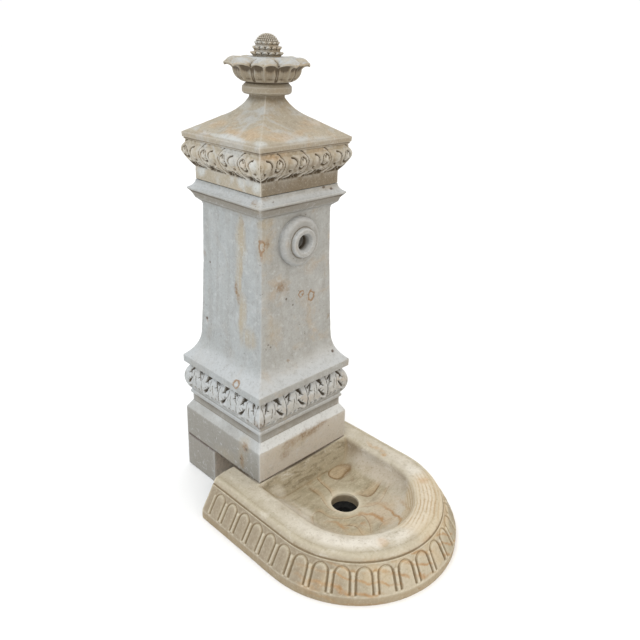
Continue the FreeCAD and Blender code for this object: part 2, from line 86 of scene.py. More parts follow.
def hashed(ix, iy, iz, seed):
    n = ix * 374761393 + iy * 668265263 + iz * 2147483647 + seed * 974634777
    n = (n ^ (n >> 13)) * 1274126177
    n = n ^ (n >> 16)
    return (n & 0xFFFF) / 65535.0


def value_noise(points, size, seed=0):
    """Smooth noise from -1 to 1 at each point, with features of about the given size."""
    p = points / size
    cell = np.floor(p).astype(np.int64)
    f = p - cell
    f = f * f * (3 - 2 * f)
    total = np.zeros(p.shape[:-1])
    for dx in (0, 1):
        wx = f[..., 0] if dx else 1 - f[..., 0]
        for dy in (0, 1):
            wy = f[..., 1] if dy else 1 - f[..., 1]
            for dz in (0, 1):
                wz = f[..., 2] if dz else 1 - f[..., 2]
                corner = hashed(cell[..., 0] + dx, cell[..., 1] + dy, cell[..., 2] + dz, seed)
                total += wx * wy * wz * corner
    return total * 2 - 1


# ---- outlines
def to(w, z, radius=1.0, spacing=30.0):
    """A straight stretch of an outline up to a corner that is rounded by the radius."""
    return None, (w, z), radius, spacing


def via(middle_w, middle_z, w, z, radius=0.0, spacing=1.5):
    """An arc of an outline that passes through a middle point."""
    return (middle_w, middle_z), (w, z), radius, spacing


def arc_points(a, m, b, spacing):
    (ax, ay), (mx, my), (bx, by) = a, m, b
    left = np.array([[2 * (mx - ax), 2 * (my - ay)], [2 * (bx - ax), 2 * (by - ay)]])
    right = np.array([mx * mx + my * my - ax * ax - ay * ay,
                      bx * bx + by * by - ax * ax - ay * ay])
    cx, cy = np.linalg.solve(left, right)
    radius = math.hypot(ax - cx, ay - cy)
    start = math.atan2(ay - cy, ax - cx)
    middle = (math.atan2(my - cy, mx - cx) - start) % (2 * math.pi)
    turn = (math.atan2(by - cy, bx - cx) - start) % (2 * math.pi)
    if middle > turn:
        turn -= 2 * math.pi
    count = max(2, int(math.ceil(abs(turn) * radius / spacing)))
    angles = start + turn * np.arange(1, count + 1) / count
    return [np.array([cx + radius * math.cos(t), cy + radius * math.sin(t)]) for t in angles]


def outline(*steps):
    """A polyline through the steps, with its corners rounded."""
    line = [np.array(steps[0][1], float)]
    corners = [(0, 0.0)]
    for middle, end, radius, spacing in steps[1:]:
        here = line[-1]
        end = np.array(end, float)
        if middle is None:
            count = max(1, int(math.ceil(np.linalg.norm(end - here) / spacing)))
            line += [here + (end - here) * i / count for i in range(1, count + 1)]
        else:
            line += arc_points(here, middle, end, spacing)
        corners.append((len(line) - 1, radius))
    return round_corners(line, corners)


def walk(line, start, direction, distance):
    """The point a distance along the line from a corner, and the index reached."""
    here = line[start]
    i = start
    left = distance
    while 0 <= i + direction < len(line):
        there = line[i + direction]
        length = np.linalg.norm(there - here)
        if length >= left:
            return here + (there - here) * (left / length), i + direction
        left -= length
        here = there
        i += direction
    return here, i


def round_corners(line, corners):
    lengths = [0.0]
    for a, b in zip(line[:-1], line[1:]):
        lengths.append(lengths[-1] + np.linalg.norm(b - a))
    result = []
    done = 0
    for k, (index, radius) in enumerate(corners):
        if k == 0 or k == len(corners) - 1 or radius <= 0:
            result.extend(line[done:index + 1])
            done = index + 1
            continue
        room = 0.45 * min(lengths[index] - lengths[corners[k - 1][0]],
                          lengths[corners[k + 1][0]] - lengths[index])
        a, before = walk(line, index, -1, min(radius, room))
        b, after = walk(line, index, 1, min(radius, room))
        result.extend(line[done:before + 1])
        c = line[index]
        for t in (0.0, 0.25, 0.5, 0.75, 1.0):
            result.append(a * (1 - t) ** 2 + c * 2 * t * (1 - t) + b * t ** 2)
        done = after
    result.extend(line[done:])
    kept = [result[0]]
    for p in result[1:]:
        if np.linalg.norm(p - kept[-1]) > 0.05:
            kept.append(p)
    return np.array(kept)


# ---- grids of points
def grid_normals(points):
    """Outward normals of a grid whose rows are closed rings running anticlockwise, going up."""
    along = np.roll(points, -1, 1) - np.roll(points, 1, 1)
    up = np.gradient(points, axis=0)
    n = np.cross(along, up)
    return n / np.maximum(np.linalg.norm(n, axis=-1, keepdims=True), 1e-9)


def hollowness(points, normals):
    """How far each point of a grid lies in a hollow (positive) or on an edge (negative)."""
    total = np.zeros(points.shape[:2])
    for reach, gain in ((1, 0.5), (3, 0.35), (6, 0.25)):
        padded = np.concatenate([np.repeat(points[:1], reach, 0), points,
                                 np.repeat(points[-1:], reach, 0)])
        pairs = ((padded[2 * reach:], padded[:-2 * reach]),
                 (np.roll(points, reach, 1), np.roll(points, -reach, 1)))
        for one, other in pairs:
            lift = (((one + other) / 2 - points) * normals).sum(-1)
            gap = np.linalg.norm(one - other, axis=-1) / 2
            total += np.clip(lift / np.maximum(gap, 0.8), -1, 1) * gain
    return total


def weathered(points, depth, seed, chip=0.0):
    """The grid moved by the slight unevenness of hand-dressed stone, with chipped edges."""
    normals = grid_normals(points)
    wave = 0.5 * value_noise(points, 41.0, seed) + 0.3 * value_noise(points, 15.0, seed + 1)
    wave += 0.2 * value_noise(points, 5.0, seed + 2)
    edge = np.clip(-hollowness(points, normals) * 3, 0, 1)
    loss = np.clip(value_noise(points, 8.0, seed + 7) - 0.3, 0, 1) + 0.25
    loss += 0.6 * np.clip(value_noise(points, 21.0, seed + 8) - 0.3, 0, 1)
    return points + normals * (wave * depth - loss * edge * chip)[..., None]


def ring_faces(rows, columns, wrap=False):
    """Quads of a grid whose rows are closed rings of points; wrap joins the last to the first."""
    i = np.arange(rows if wrap else rows - 1)[:, None]
    j = np.arange(columns)[None, :]
    k = (j + 1) % columns
    low = i * columns
    high = (i + 1) % rows * columns
    quads = np.stack(np.broadcast_arrays(low + j, low + k, high + k, high + j), -1)
    return quads.reshape(-1, 4).tolist()


def capped(points, faces):
    """A grid closed by a flat face at its foot and one at its head."""
    rows, columns = points.shape[:2]
    faces.append(list(range(columns))[::-1])
    faces.append(list(range((rows - 1) * columns, rows * columns)))
    return faces


# ---- pieces
def make_piece(name, points, faces, attributes, material):
    mesh = bpy.data.meshes.new(name)
    mesh.from_pydata((points.reshape(-1, 3) * MM).tolist(), [], faces)
    mesh.polygons.foreach_set("use_smooth", [True] * len(mesh.polygons))
    mesh.set_sharp_from_angle(angle=SHARP)
    for key, values in attributes.items():
        layer = mesh.attributes.new(key, "FLOAT", "POINT")
        layer.data.foreach_set("value", values.reshape(-1).astype(np.float32))
    mesh.materials.append(material)
    mesh.update()
    piece = bpy.data.objects.new(name, mesh)
    bpy.context.scene.collection.objects.link(piece)
    return piece


def stand_in(piece, node, body="fountain"):
    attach(piece, body)
    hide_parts(node)


def surface_values(points, carved=0.0):
    """The attributes that the stone's shader reads: grime and painted shade in hollows, and rubbed
    edges with a painted highlight.
    """
    hollow = hollowness(points, grid_normals(points))
    return {"cavity": np.clip(hollow * 1.6 + carved, 0, 1),
            "wear_and_highlight": np.clip(-hollow * 2.0, 0, 1)}


def patchy(points, size):
    """A slow variation from 0.55 to 1 that breaks up long dark lines of grime and painted shade."""
    return 0.775 + 0.225 * np.clip(1.6 * value_noise(points, size, 91), -1, 1)


CUTTER_SIDES = 64
ASKEW = [0.31, 0.17, 0.93]      # a direction that no bore runs along


def bored(piece, cutters):
    """The piece with round bores cut in it: (radius, start, end) in millimetres."""
    for radius, start, end in cutters:
        start, end = np.array(start, float), np.array(end, float)
        axis = (end - start) / np.linalg.norm(end - start)
        side = np.cross(axis, ASKEW)
        side /= np.linalg.norm(side)
        other = np.cross(axis, side)
        turn = np.linspace(0, 2 * math.pi, CUTTER_SIDES, endpoint=False)[:, None]
        circle = (side * np.cos(turn) + other * np.sin(turn)) * radius
        grid = np.stack([start + circle, end + circle])
        faces = capped(grid, ring_faces(2, CUTTER_SIDES))
        cutter = make_piece("cutter", grid, faces, {}, piece.data.materials[0])
        modifier = piece.modifiers.new("bore", "BOOLEAN")
        modifier.operation = "DIFFERENCE"
        modifier.solver = "EXACT"
        modifier.object = cutter
        evaluated = piece.evaluated_get(bpy.context.evaluated_depsgraph_get())
        mesh = bpy.data.meshes.new_from_object(evaluated)
        piece.modifiers.clear()
        old = piece.data
        mesh.name = old.name + "_bored"
        piece.data = mesh
        bpy.data.meshes.remove(old)
        shape = cutter.data
        bpy.data.objects.remove(cutter)
        bpy.data.meshes.remove(shape)
    piece.data.set_sharp_from_angle(angle=SHARP)


def build_stone(name, node, slot, points, values, wrap=False, cutters=()):
    """A stone from its grid of points, closed by flat ends or, with wrap, by its last row
    meeting its first."""
    faces = ring_faces(*points.shape[:2], wrap=wrap)
    if not wrap:
        capped(points, faces)
    piece = make_piece(name, points, faces, values, MATERIALS[slot])
    if cutters:
        bored(piece, cutters)
    stand_in(piece, node)


# ---- blocks of square plan
SIDES = [((0.0, -1.0), (1.0, 0.0)), ((1.0, 0.0), (0.0, 1.0)),
         ((0.0, 1.0), (-1.0, 0.0)), ((-1.0, 0.0), (0.0, -1.0))]
RIGHT, LEFT = 1, 3              # places in SIDES of the two sides that run front to back
EDGE_STEPS = 3                  # facets of a rounded arris


def square_columns(per_side):
    """For each column round a square plan: where it lies on a square of half width 1, the
    way it is moved inwards at a rounded arris, its side and how far across that side it is."""
    place, tuck, side, across = [], [], [], []
    for k, (normal, along) in enumerate(SIDES):
        normal, along = np.array(normal), np.array(along)
        following = np.array(SIDES[(k + 1) % 4][0])
        for f in np.linspace(-1, 1, per_side):
            place.append(normal + along * f)
            tuck.append(-along * f)
            side.append(k)
            across.append(f)
        for step in range(1, EDGE_STEPS):
            turn = step / EDGE_STEPS * math.pi / 2
            place.append(normal + along)
            tuck.append(normal * (math.cos(turn) - 1) + following * (math.sin(turn) - 1))
            side.append(k)
            across.append(1.0)
    return np.array(place), np.array(tuck), np.array(side), np.array(across)


def square_grid(profile, per_side, arris):
    """Points of a moulded stone of square plan, with the side and place across it of each."""
    place, tuck, side, across = square_columns(per_side)
    w = profile[:, 0][:, None]
    x = place[None, :, 0] * w + tuck[None, :, 0] * arris
    y = place[None, :, 1] * w + tuck[None, :, 1] * arris
    z = np.broadcast_to(profile[:, 1][:, None], x.shape)
    points = np.stack([x, y, z], -1)
    side = np.broadcast_to(side[None, :], x.shape)
    along = across[None, :] * (w - arris)
    return points, side, along, w - arris - np.abs(along)


def pin_ends(points, low, high):
    """The grid with its first and last rows made flat at the given heights."""
    points[0, :, 2] = low
    points[-1, :, 2] = high
    return points


def with_core(points, radius):
    """The grid continued by a bore from its head back down to its foot."""
    ends = []
    for row in (points[-1], points[0]):
        flat = row[:, :2] / np.linalg.norm(row[:, :2], axis=1, keepdims=True) * radius
        ends.append(np.column_stack([flat, row[:, 2]]))
    return np.concatenate([points, [ends[0]], [ends[1]]])


# ---- carving
def gouged(x, y, strokes, soft):
    """Depth of tapered gouges (x0, y0, x1, y1, r0, r1, depth), and how near one each point is."""
    depth = np.zeros(np.broadcast(x, y).shape)
    near = np.zeros_like(depth)
    for x0, y0, x1, y1, r0, r1, deep in strokes:
        dx, dy = x1 - x0, y1 - y0
        t = np.clip(((x - x0) * dx + (y - y0) * dy) / max(dx * dx + dy * dy, 1e-9), 0, 1)
        reach = r0 + (r1 - r0) * t
        d = np.hypot(x - x0 - dx * t, y - y0 - dy * t)
        depth = np.maximum(depth, deep * np.clip(1 - (d / reach) ** 2, 0, 1) ** 0.6)
        near = np.maximum(near, np.exp(-np.clip(d - reach, 0, None) / soft))
    return depth, near


def raised(x, y, bumps):
    """Height of rounded swellings (x, y, x radius, y radius, height)."""
    total = np.zeros(np.broadcast(x, y).shape)
    for bx, by, rx, ry, height in bumps:
        d = ((x - bx) / rx) ** 2 + ((y - by) / ry) ** 2
        total = total + height * np.clip(1 - d, 0, 1) ** 1.5
    return total


def motif(x, shift, y, pitch, gouges, swells, soft):
    """Depth, nearness and swelling of a carved motif and of its two neighbours."""
    depth, near, height = np.zeros(x.shape), np.zeros(x.shape), np.zeros(x.shape)
    for turn in (-pitch, 0, pitch):
        part, close = gouged(x - turn + shift, y, gouges, soft)
        depth = np.maximum(depth, part)
        near = np.maximum(near, close)
        height = height + raised(x - turn + shift, y, swells)
    return depth, near, height


def lumpy(side, along, z, size, seed):
    """Unevenness of hand carving that differs from side to side."""
    return value_noise(np.stack([along + side * 500.0, z, z * 0], -1), size, seed)


LEAF_FOOT = 289.0               # lower edge of the acanthus leaves
LEAF_HEAD = 358.0
LEAF_PITCH = 82.3
LEAF_START = 7                  # how far past a side's middle its first groove lies
LEAF_GOUGES = [                 # across a leaf from its groove, and up from its foot
    (1.5, 72, 0, 40, 0.9, 1.0, 2.6), (0, 40, -1.5, 2, 1.0, 2.6, 5.5),
    (28, 72, 23, 54, 8.5, 3.6, 11.0), (37, 71, 32, 62, 3.0, 1.6, 7.0),
    (23, 54, 17, 47, 2.4, 1.0, 5.0), (25, 56, 30, 50, 2.0, 0.9, 4.0),
    (14, 15, 23, 22, 4.6, 4.2, 10.0), (23, 22, 38, 41, 3.8, 1.8, 9.0),
    (24, 25, 19, 33, 2.2, 0.9, 5.0), (31, 33, 29, 40, 1.8, 0.8, 4.0),
    (20, -1, 29, 5, 3.6, 4.6, 10.0), (29, 5, 39, 0, 4.4, 3.0, 9.0),
    (61, 70, 70, 55, 1.7, 2.8, 8.5), (70, 55, 77, 42, 2.8, 1.5, 8.0),
    (67, 66, 77, 61, 1.4, 2.2, 5.0), (71, 52, 64, 47, 1.6, 0.8, 4.0),
    (47, 9, 56, -2, 2.0, 4.4, 9.0), (65, 11, 72, -2, 1.4, 3.0, 7.0),
    (41, 60, 46, 32, 0.9, 1.4, 1.6), (53, 50, 58, 24, 0.9, 1.4, 1.6)]
LEAF_SWELLS = [(6, 38, 5, 34, 2.2), (48, 40, 17, 32, 2.6), (43, 7, 6, 8, 3.2),
               (28, 13, 8, 6, 1.4), (28, 46, 7, 7, 2.0), (66, 27, 10, 16, 2.0),
               (11, 7, 7, 8, 2.4), (62, 10, 6, 8, 2.2)]


def leaf_relief(side, along, z, from_arris):
    """Height of the acanthus leaves that hang under the flared plate, with their grime and painted
    shade.
    """
    mirrored = np.where((side == LEFT) | (side == RIGHT), along, -along)
    x = (mirrored + LEAF_START + 4 * LEAF_PITCH) % LEAF_PITCH
    y = z - LEAF_FOOT
    leaf = np.floor((mirrored + LEAF_START) / LEAF_PITCH) + side * 3
    sway = 1.3 * np.sin(along * 0.09 + side * 2.1) + 1.2 * np.sin(leaf * 2.7)
    depth, near, height = motif(x, sway * 0.5, y + sway, LEAF_PITCH, LEAF_GOUGES, LEAF_SWELLS, 2.6)
    depth = depth * smooth(15, 24, from_arris)
    lumps = lumpy(side, along, z, 7.5, 5)
    foot = 2.0 + 1.8 * np.cos(x * 0.31) + 0.8 * np.sin(x * 0.83 + leaf)
    skirt = smooth(foot - 1.2, foot + 1.2, y)
    inside = smooth(0, 1.5, LEAF_HEAD - z)
    # darker in and near the gouges, towards the leaves' tops under the flared plate and in a line
    # under their lower edge: grime and painted shade
    grime_and_shade = np.clip(depth / 7.0, 0, 1) + 0.22 * near ** 2 + 0.2 * smooth(50, 68, y)
    grime_and_shade = grime_and_shade * skirt * inside + 0.6 * bump(y - foot + 3, 2.6)
    height = (height + 1.1 * lumps - 1.8 * near - depth) * skirt
    height = height - 3.6 * (1 - skirt) * smooth(-14, -7, y)
    return height * inside * smooth(0, 5, from_arris), grime_and_shade


EGG_PITCH = 81.0
EGG_START = 3
BAND_FOOT = 963.0               # lower edge of the cap's carved band
BAND_HEAD = 1036.0


def arc_gouge(cx, cy, rx, ry, first, last, radius, deep, steps):
    """Short strokes along part of an ellipse; angles in degrees, anticlockwise from +x."""
    angles = [math.radians(first + (last - first) * i / steps) for i in range(steps + 1)]
    ends = [(cx + rx * math.cos(t), cy + ry * math.sin(t)) for t in angles]
    return [(*a, *b, radius, radius, deep) for a, b in zip(ends[:-1], ends[1:])]


EGG_GOUGES = (
    arc_gouge(25, 35, 25, 36, 96, 238, 1.1, 2.6, 14)
    + arc_gouge(19, 43, 9, 13, 95, 190, 2.9, 5.0, 6)
    + arc_gouge(21, 33, 9, 9, 195, 335, 2.9, 5.5, 6)
    + arc_gouge(19, 43, 11, 14, -20, 60, 1.6, 2.6, 5)
    + [(21, 51, 23, 47, 2.2, 1.6, 4.5), (29, 27, 30, 34, 3.4, 2.0, 9.0)]
    + arc_gouge(56, 42, 14, 16, 85, 200, 2.8, 5.5, 8)
    + [(57, 22, 60, 24, 3.4, 2.8, 9.0), (49, 56, 56, 58, 2.8, 2.0, 5.0),
       (31, 12, 50, 0, 4.2, 6.4, 11.0), (44, 13, 66, -3, 2.6, 6.0, 11.0),
       (4, 13, 22, 1, 2.4, 5.2, 10.0), (16, 16, 34, -2, 2.0, 5.0, 10.0),
       (62, 14, 78, 1, 2.0, 4.8, 9.0)])
EGG_SWELLS = [(19, 43, 9, 12, 3.4), (57, 41, 15, 17, 4.0), (37, 62, 9, 8, 1.4),
              (30, 18, 12, 10, 1.6), (60, 12, 12, 9, 1.6), (76, 34, 5, 26, 1.6)]


def egg_relief(side, along, z, from_arris):
    """Height of the band of rings and eggs under the cap's eave, with its grime and painted shade.
    """
    mirrored = np.where((side == LEFT) | (side == RIGHT), along, -along)
    x = (mirrored + EGG_START + 4 * EGG_PITCH) % EGG_PITCH
    y = z - BAND_FOOT
    wobble = 1.1 * np.sin(along * 0.11 + side * 1.7)
    depth, near, height = motif(x, wobble, y, EGG_PITCH, EGG_GOUGES, EGG_SWELLS, 2.2)
    inside = smooth(-1.5, 1.5, y) * smooth(0, 2, BAND_HEAD - z)
    lumps = lumpy(side, along, z, 8.0, 6)
    height = (height + 0.9 * lumps - 1.2 * near - depth) * inside
    # darker in the gouges and towards the band's foot, under its swelling: grime and painted shade
    grime_and_shade = (np.clip(depth / 7.0, 0, 1) + 0.25 * smooth(16, 4, y)) * inside
    return height * smooth(0, 5, from_arris), grime_and_shade


def build_base_block():
    profile = outline(
        to(175.5, BASE_LOW[2]), to(175.5, 210, 3.0), to(160, 236, 2), to(160, 258.5, 0.8),
        to(162, 259.5, 0.6, 2), via(165.5, 266, 162, 272.5, 0.6), to(161.5, 274, 0.8, 2),
        via(176.5, 304, 163, 357, 0, 1.12), to(161, BASE_HIGH[2], 0, 3))
    points, side, along, from_arris = square_grid(profile, per_side=184, arris=2.6)
    normals = grid_normals(points)
    height, grime_and_shade = leaf_relief(side, along, points[..., 2], from_arris)
    points = points + normals * height[..., None]
    points = pin_ends(weathered(points, depth=0.45, seed=11, chip=0.9),
                      BASE_LOW[2], BASE_HIGH[2])
    points[..., :2] = np.clip(points[..., :2], -PILLAR_LIMIT, PILLAR_LIMIT)
    z = points[..., 2]
    # dark lines in the moulding's creases and under its small overhangs: grime and painted shade
    lines = 0.6 * bump(z - 276, 2.2) + 0.65 * bump(z - 257.5, 2.4) + 0.4 * bump(z - 236.5, 1.8)
    values = surface_values(points, grime_and_shade * 0.9 + lines * patchy(points, 90))
    values = {k: np.concatenate([v, np.zeros((2, v.shape[1]))]) for k, v in values.items()}
    build_stone("carved_base_block", "base_block", "pillar_stone", with_core(points, CORE_R),
                values, wrap=True)


OUTLET_BORE_R = 16.0            # round the outlet pipe
SOCKET_BORE_R = 20.0            # round the socket that the tap screws into


def build_shaft_block():
    profile = outline(
        to(178, SHAFT_LOW[2]), to(178, 390, 2.2, 6), via(149, 426, 137, 472, 0, 3.0),
        via(129.3, 670, 126, 858, 0, 5.0), to(128, 866, 0.8, 4), to(135, 872, 1.0, 3),
        to(141, 877, 0.8, 3), via(145, 887, 152, 897, 0.8, 2.0), to(156, 901, 1.2, 2),
        to(156, 905, 1.5, 2), via(145, 912, 138.5, 925, 0, 2.0),
        to(138.5, SHAFT_HIGH[2], 0, 2))
    points = square_grid(profile, per_side=110, arris=3.0)[0]
    points = pin_ends(weathered(points, depth=0.7, seed=21, chip=1.0),
                      SHAFT_LOW[2], SHAFT_HIGH[2])
    points[..., :2] = np.clip(points[..., :2], SHAFT_LOW[0], SHAFT_HIGH[0])
    z = points[..., 2]
    # painted shade: dark lines under the moulding's lip and in its crease, and the underside of the
    # ogee darkened
    lines = (0.9 * bump(z - 896.5, 3.2) + 0.8 * bump(z - 870.5, 3.4)
             + 0.3 * smooth(868, 890, z) * smooth(903, 897, z))
    values = surface_values(points, lines * patchy(points, 80))
    values["wear_and_highlight"] = values["wear_and_highlight"] * (0.25 + 0.75 * smooth(860, 900, z))
    front = (0, -200, OUTLET_Z)         # a point ahead of the stone, on the outlet's axis
    build_stone("dressed_shaft_block", "shaft_block", "pillar_stone", points, values,
                cutters=[(CORE_R, (0, 0, 300), (0, 0, CORE_TOP)),
                         (OUTLET_BORE_R, (0, 0, OUTLET_Z), front),
                         (SOCKET_BORE_R, (0, SOCKET_LOW[1], OUTLET_Z), front)])


def build_cap_block():
    profile = outline(
        to(137.5, CAP_LOW[2]), to(137.5, 963, 1, 4), via(150, 979, 163, 1003, 0, 1.25),
        via(163, 1015, 156, 1026, 0.5, 1.25), to(155, 1035, 0.6, 1.2), to(158, 1036.5, 0.6, 1.5),
        to(158, 1040.5, 0.4, 2), to(161, 1041.5, 0.6, 1.5), to(162, 1054, 1.4, 4),
        to(86, 1099, 3, 5), via(52, 1124, 34, 1150, 0, 4.5), to(34, CAP_HIGH[2], 0, 3))
    points, side, along, from_arris = square_grid(profile, per_side=154, arris=1.8)
    normals = grid_normals(points)
    height, grime_and_shade = egg_relief(side, along, points[..., 2], from_arris)
    points = points + normals * height[..., None]
    points = pin_ends(weathered(points, depth=0.5, seed=41, chip=1.0), CAP_LOW[2], CAP_HIGH[2])
    z = points[..., 2]
    # painted shade in the groove under the eave and in the crease at the foot of the carved band,
    # and a dark line near the cap's foot
    lines = 0.9 * bump(z - 1038, 3.0) + 0.35 * bump(z - 961, 3.0) + 0.5 * bump(z - 930, 2.0)
    values = surface_values(points, grime_and_shade * 0.9 + lines * patchy(points, 70))
    build_stone("carved_cap_block", "cap_block", "cap_stone", points, values)


def build_rear_block():
    low, high = REAR_LOW, REAR_HIGH
    half = (high - low) / 2
    centre = (high + low) / 2
    z0, z1 = low[2], high[2]
    profile = outline(to(-2, z0), to(0, z0 + 2, 1.0, 2), to(0, z1 - 2, 1.0, 4),
                      to(-2, z1, 0, 2))
    place, tuck = square_columns(per_side=60)[:2]
    arris = 2.5
    inset = profile[:, 0][:, None]
    x = place[None, :, 0] * (half[0] + inset) + tuck[None, :, 0] * arris + centre[0]
    y = place[None, :, 1] * (half[1] + inset) + tuck[None, :, 1] * arris + centre[1]
    z = np.broadcast_to(profile[:, 1][:, None], x.shape)
    points = weathered(np.stack([x, y, z], -1), depth=0.9, seed=31, chip=1.2)
    points[..., 0] = np.clip(points[..., 0], low[0], high[0])
    points[..., 1] = np.clip(points[..., 1], low[1], high[1])
    points = pin_ends(points, z0, z1)
    build_stone("dressed_rear_block", "rear_base_block", "pillar_stone", points,
                surface_values(points))


ROSE_COLUMNS = 180
ROSE_FACE = 160.0               # how far in front of the pillar's axis the raised ring ends


def build_outlet_rose():
    """A round boss with a raised ring, turned about the outlet's axis."""
    profile = outline(
        to(20, 112), to(67.5, 112, 0, 4), to(67.5, 130, 0, 3), via(64.8, 142.5, 56, 148, 1.0, 1.5),
        to(42.5, 147.6, 1.0, 3), to(41, 148.5, 0.5, 1), to(40.3, 155, 0.8, 1.5),
        via(37.5, 159.4, 31, 160, 0, 1.2), to(27, 159, 1.5, 1.5), to(21, 150, 2.0, 1.5),
        to(20, 112, 0, 4))
    turn = np.linspace(0, 2 * math.pi, ROSE_COLUMNS, endpoint=False)[None, :]
    r = profile[:-1, 0][:, None]
    depth = profile[:-1, 1][:, None]
    local = np.stack(np.broadcast_arrays(r * np.cos(turn), r * np.sin(turn), depth), -1)
    local = weathered(local, depth=0.8, seed=51, chip=0.5)
    local[..., 2] = np.minimum(local[..., 2], ROSE_FACE)
    # painted shade deep in the bore, in the crease at the foot of the raised ring, and on the
    # disc's side wall, heaviest on its lower side
    lower = 0.5 - 0.5 * np.sin(turn)
    carved = 0.9 * smooth(146, 130, local[..., 2]) * (r < 25)
    carved = carved + 0.6 * bump(r - 43, 2.2) * (depth > 146)
    carved = carved + (0.16 + 0.3 * lower) * (r > 60) * smooth(142, 132, depth)
    values = surface_values(local, carved)
    points = np.stack([local[..., 0], -local[..., 2], local[..., 1] + OUTLET_Z], -1)
    build_stone("carved_outlet_rose", "outlet_rose", "pillar_stone", points, values, wrap=True)


# ---- finial
PETALS = 8
PETAL_R = 112.0
NOTCH_R = 87.0                  # how far out the gaps between the petals reach
SCALES = 13                     # scales in each of the pine cone's three tiers
CONE_FOOT_Z = 1250.0
DOME_Z = 1287.0
DOME_CENTRE_Z = 1281.0
DOME_R = 27.0                   # radius on which the knobs are spaced upwards
DOME_FOOT_R = 30.0              # and round the dome
KNOB = 5.6                      # spacing of the knobs on the dome
FINIAL_COLUMNS = 336


def petal_shape(r, z, row, turn):
    """The plain turned bowl drawn in to eight arched petals with two flutes under each."""
    lip_row = int(np.argmax(r[:, 0]))
    edge = np.abs(2 * ((turn * PETALS / (2 * math.pi) + 0.5) % 1 - 0.5))
    arch = np.abs(np.sin(turn * PETALS)) ** 0.7
    below = row <= lip_row
    flank = smooth(1189, 1193, z) * below * (1 - smooth(90, 98, r))
    scoop = flank * smooth(1189, 1200, z) * arch
    under = below * smooth(88, 95, r)
    top = (~below) & (z > 1229) & (row < lip_row + 60) & (r > 40)
    valley = top * smooth(46, 82, r) * (1 - smooth(100, PETAL_R, r))
    tip = top * smooth(107, 111, r)
    out = np.clip(r - NOTCH_R, 0, None)
    r = r - out * 0.96 * edge ** 2.6
    seam = bump(1 - edge, 0.13)
    r = r - scoop * 8.5 * smooth(1246, 1214, z) - flank * 5.5 * seam
    z = z + (under + tip) * 7.0 * arch * (1 - 0.35 * edge)
    z = z - valley * 15.0 * edge ** 2.2
    fine = 0.5 + 0.5 * np.sin(turn * 96 + 3 * np.sin(turn * 9))
    # grime and painted shade: heaviest under the petals' lip, in the scoops, down the flanks and
    # the seams between petals, in the valleys between their tops, and in two lines round the collar
    grime_and_shade = scoop * (0.16 + 0.2 * fine + 0.4 * smooth(1211, 1224, z))
    grime_and_shade = grime_and_shade + flank * (0.22 * bump(arch - 0.45, 0.25) + 0.42 * smooth(1204, 1191, z))
    grime_and_shade = grime_and_shade + flank * 0.95 * seam + 0.5 * bump(1 - edge, 0.06) * (under + tip)
    grime_and_shade = grime_and_shade + 0.9 * bump(z - 1187.5, 2.5) * below + 0.5 * bump(z - 1163, 3) * below
    return r, z, grime_and_shade + 0.6 * under * arch + 0.5 * valley * edge ** 8


def cone_shape(r, z, turn):
    """Three tiers of cupped scales below a dome of small knobs."""
    grime_and_shade = np.zeros(r.shape)
    tiers = ((CONE_FOOT_Z, 1262.2, 0.0), (1262.2, 1275.6, 1.6), (1275.6, 1286.6, 0.7))
    for foot, head, phase in tiers:
        level = np.clip((z - foot) / (head - foot), 0, 1)
        here = (z > foot) & (z <= head) & (r < 46)
        scale = np.abs(np.cos(turn * SCALES / 2 + phase))
        gap = (1 - scale) ** 1.1
        r = r - here * 5.5 * gap * smooth(0.05, 0.7, level)
        z = z - here * gap * 6.5 * smooth(0.35, 0.9, level)
        # grime and painted shade in a ring below each tier's lip and in the gaps between the scales
        grime_and_shade = grime_and_shade + here * (0.6 * scale * bump(level - 0.4, 0.22) + 0.5 * gap)
    return r, z, grime_and_shade


def dome_shape(r, z, turn, top_z):
    """The dome closed in by rings of small round knobs."""
    polar = np.arctan2(r, z - DOME_CENTRE_Z)
    reach = np.hypot(r, z - DOME_CENTRE_Z)
    ring = polar * DOME_R / KNOB
    ring_index = np.round(ring)
    girth = 2 * math.pi * DOME_FOOT_R * np.sin(ring_index * KNOB / DOME_R)
    around = np.maximum(np.round(girth / KNOB), 1)
    dx = ((turn * around / (2 * math.pi) + 0.5 * (ring_index % 2)) % 1 - 0.5) * 2
    dy = (ring - ring_index) * 2
    knob = np.clip(1 - dx * dx - dy * dy, 0, 1) ** 0.7
    on_dome = smooth(DOME_Z - 0.6, DOME_Z + 1.2, z)
    factor = 1 + on_dome * (2.9 * knob - 2.7) / np.maximum(reach, 5)
    # the third value darkens the dome between the knobs: grime and painted shade
    return (r * factor, np.minimum(DOME_CENTRE_Z + (z - DOME_CENTRE_Z) * factor, top_z),
            on_dome * (1 - knob) ** 1.3 * 1.5)


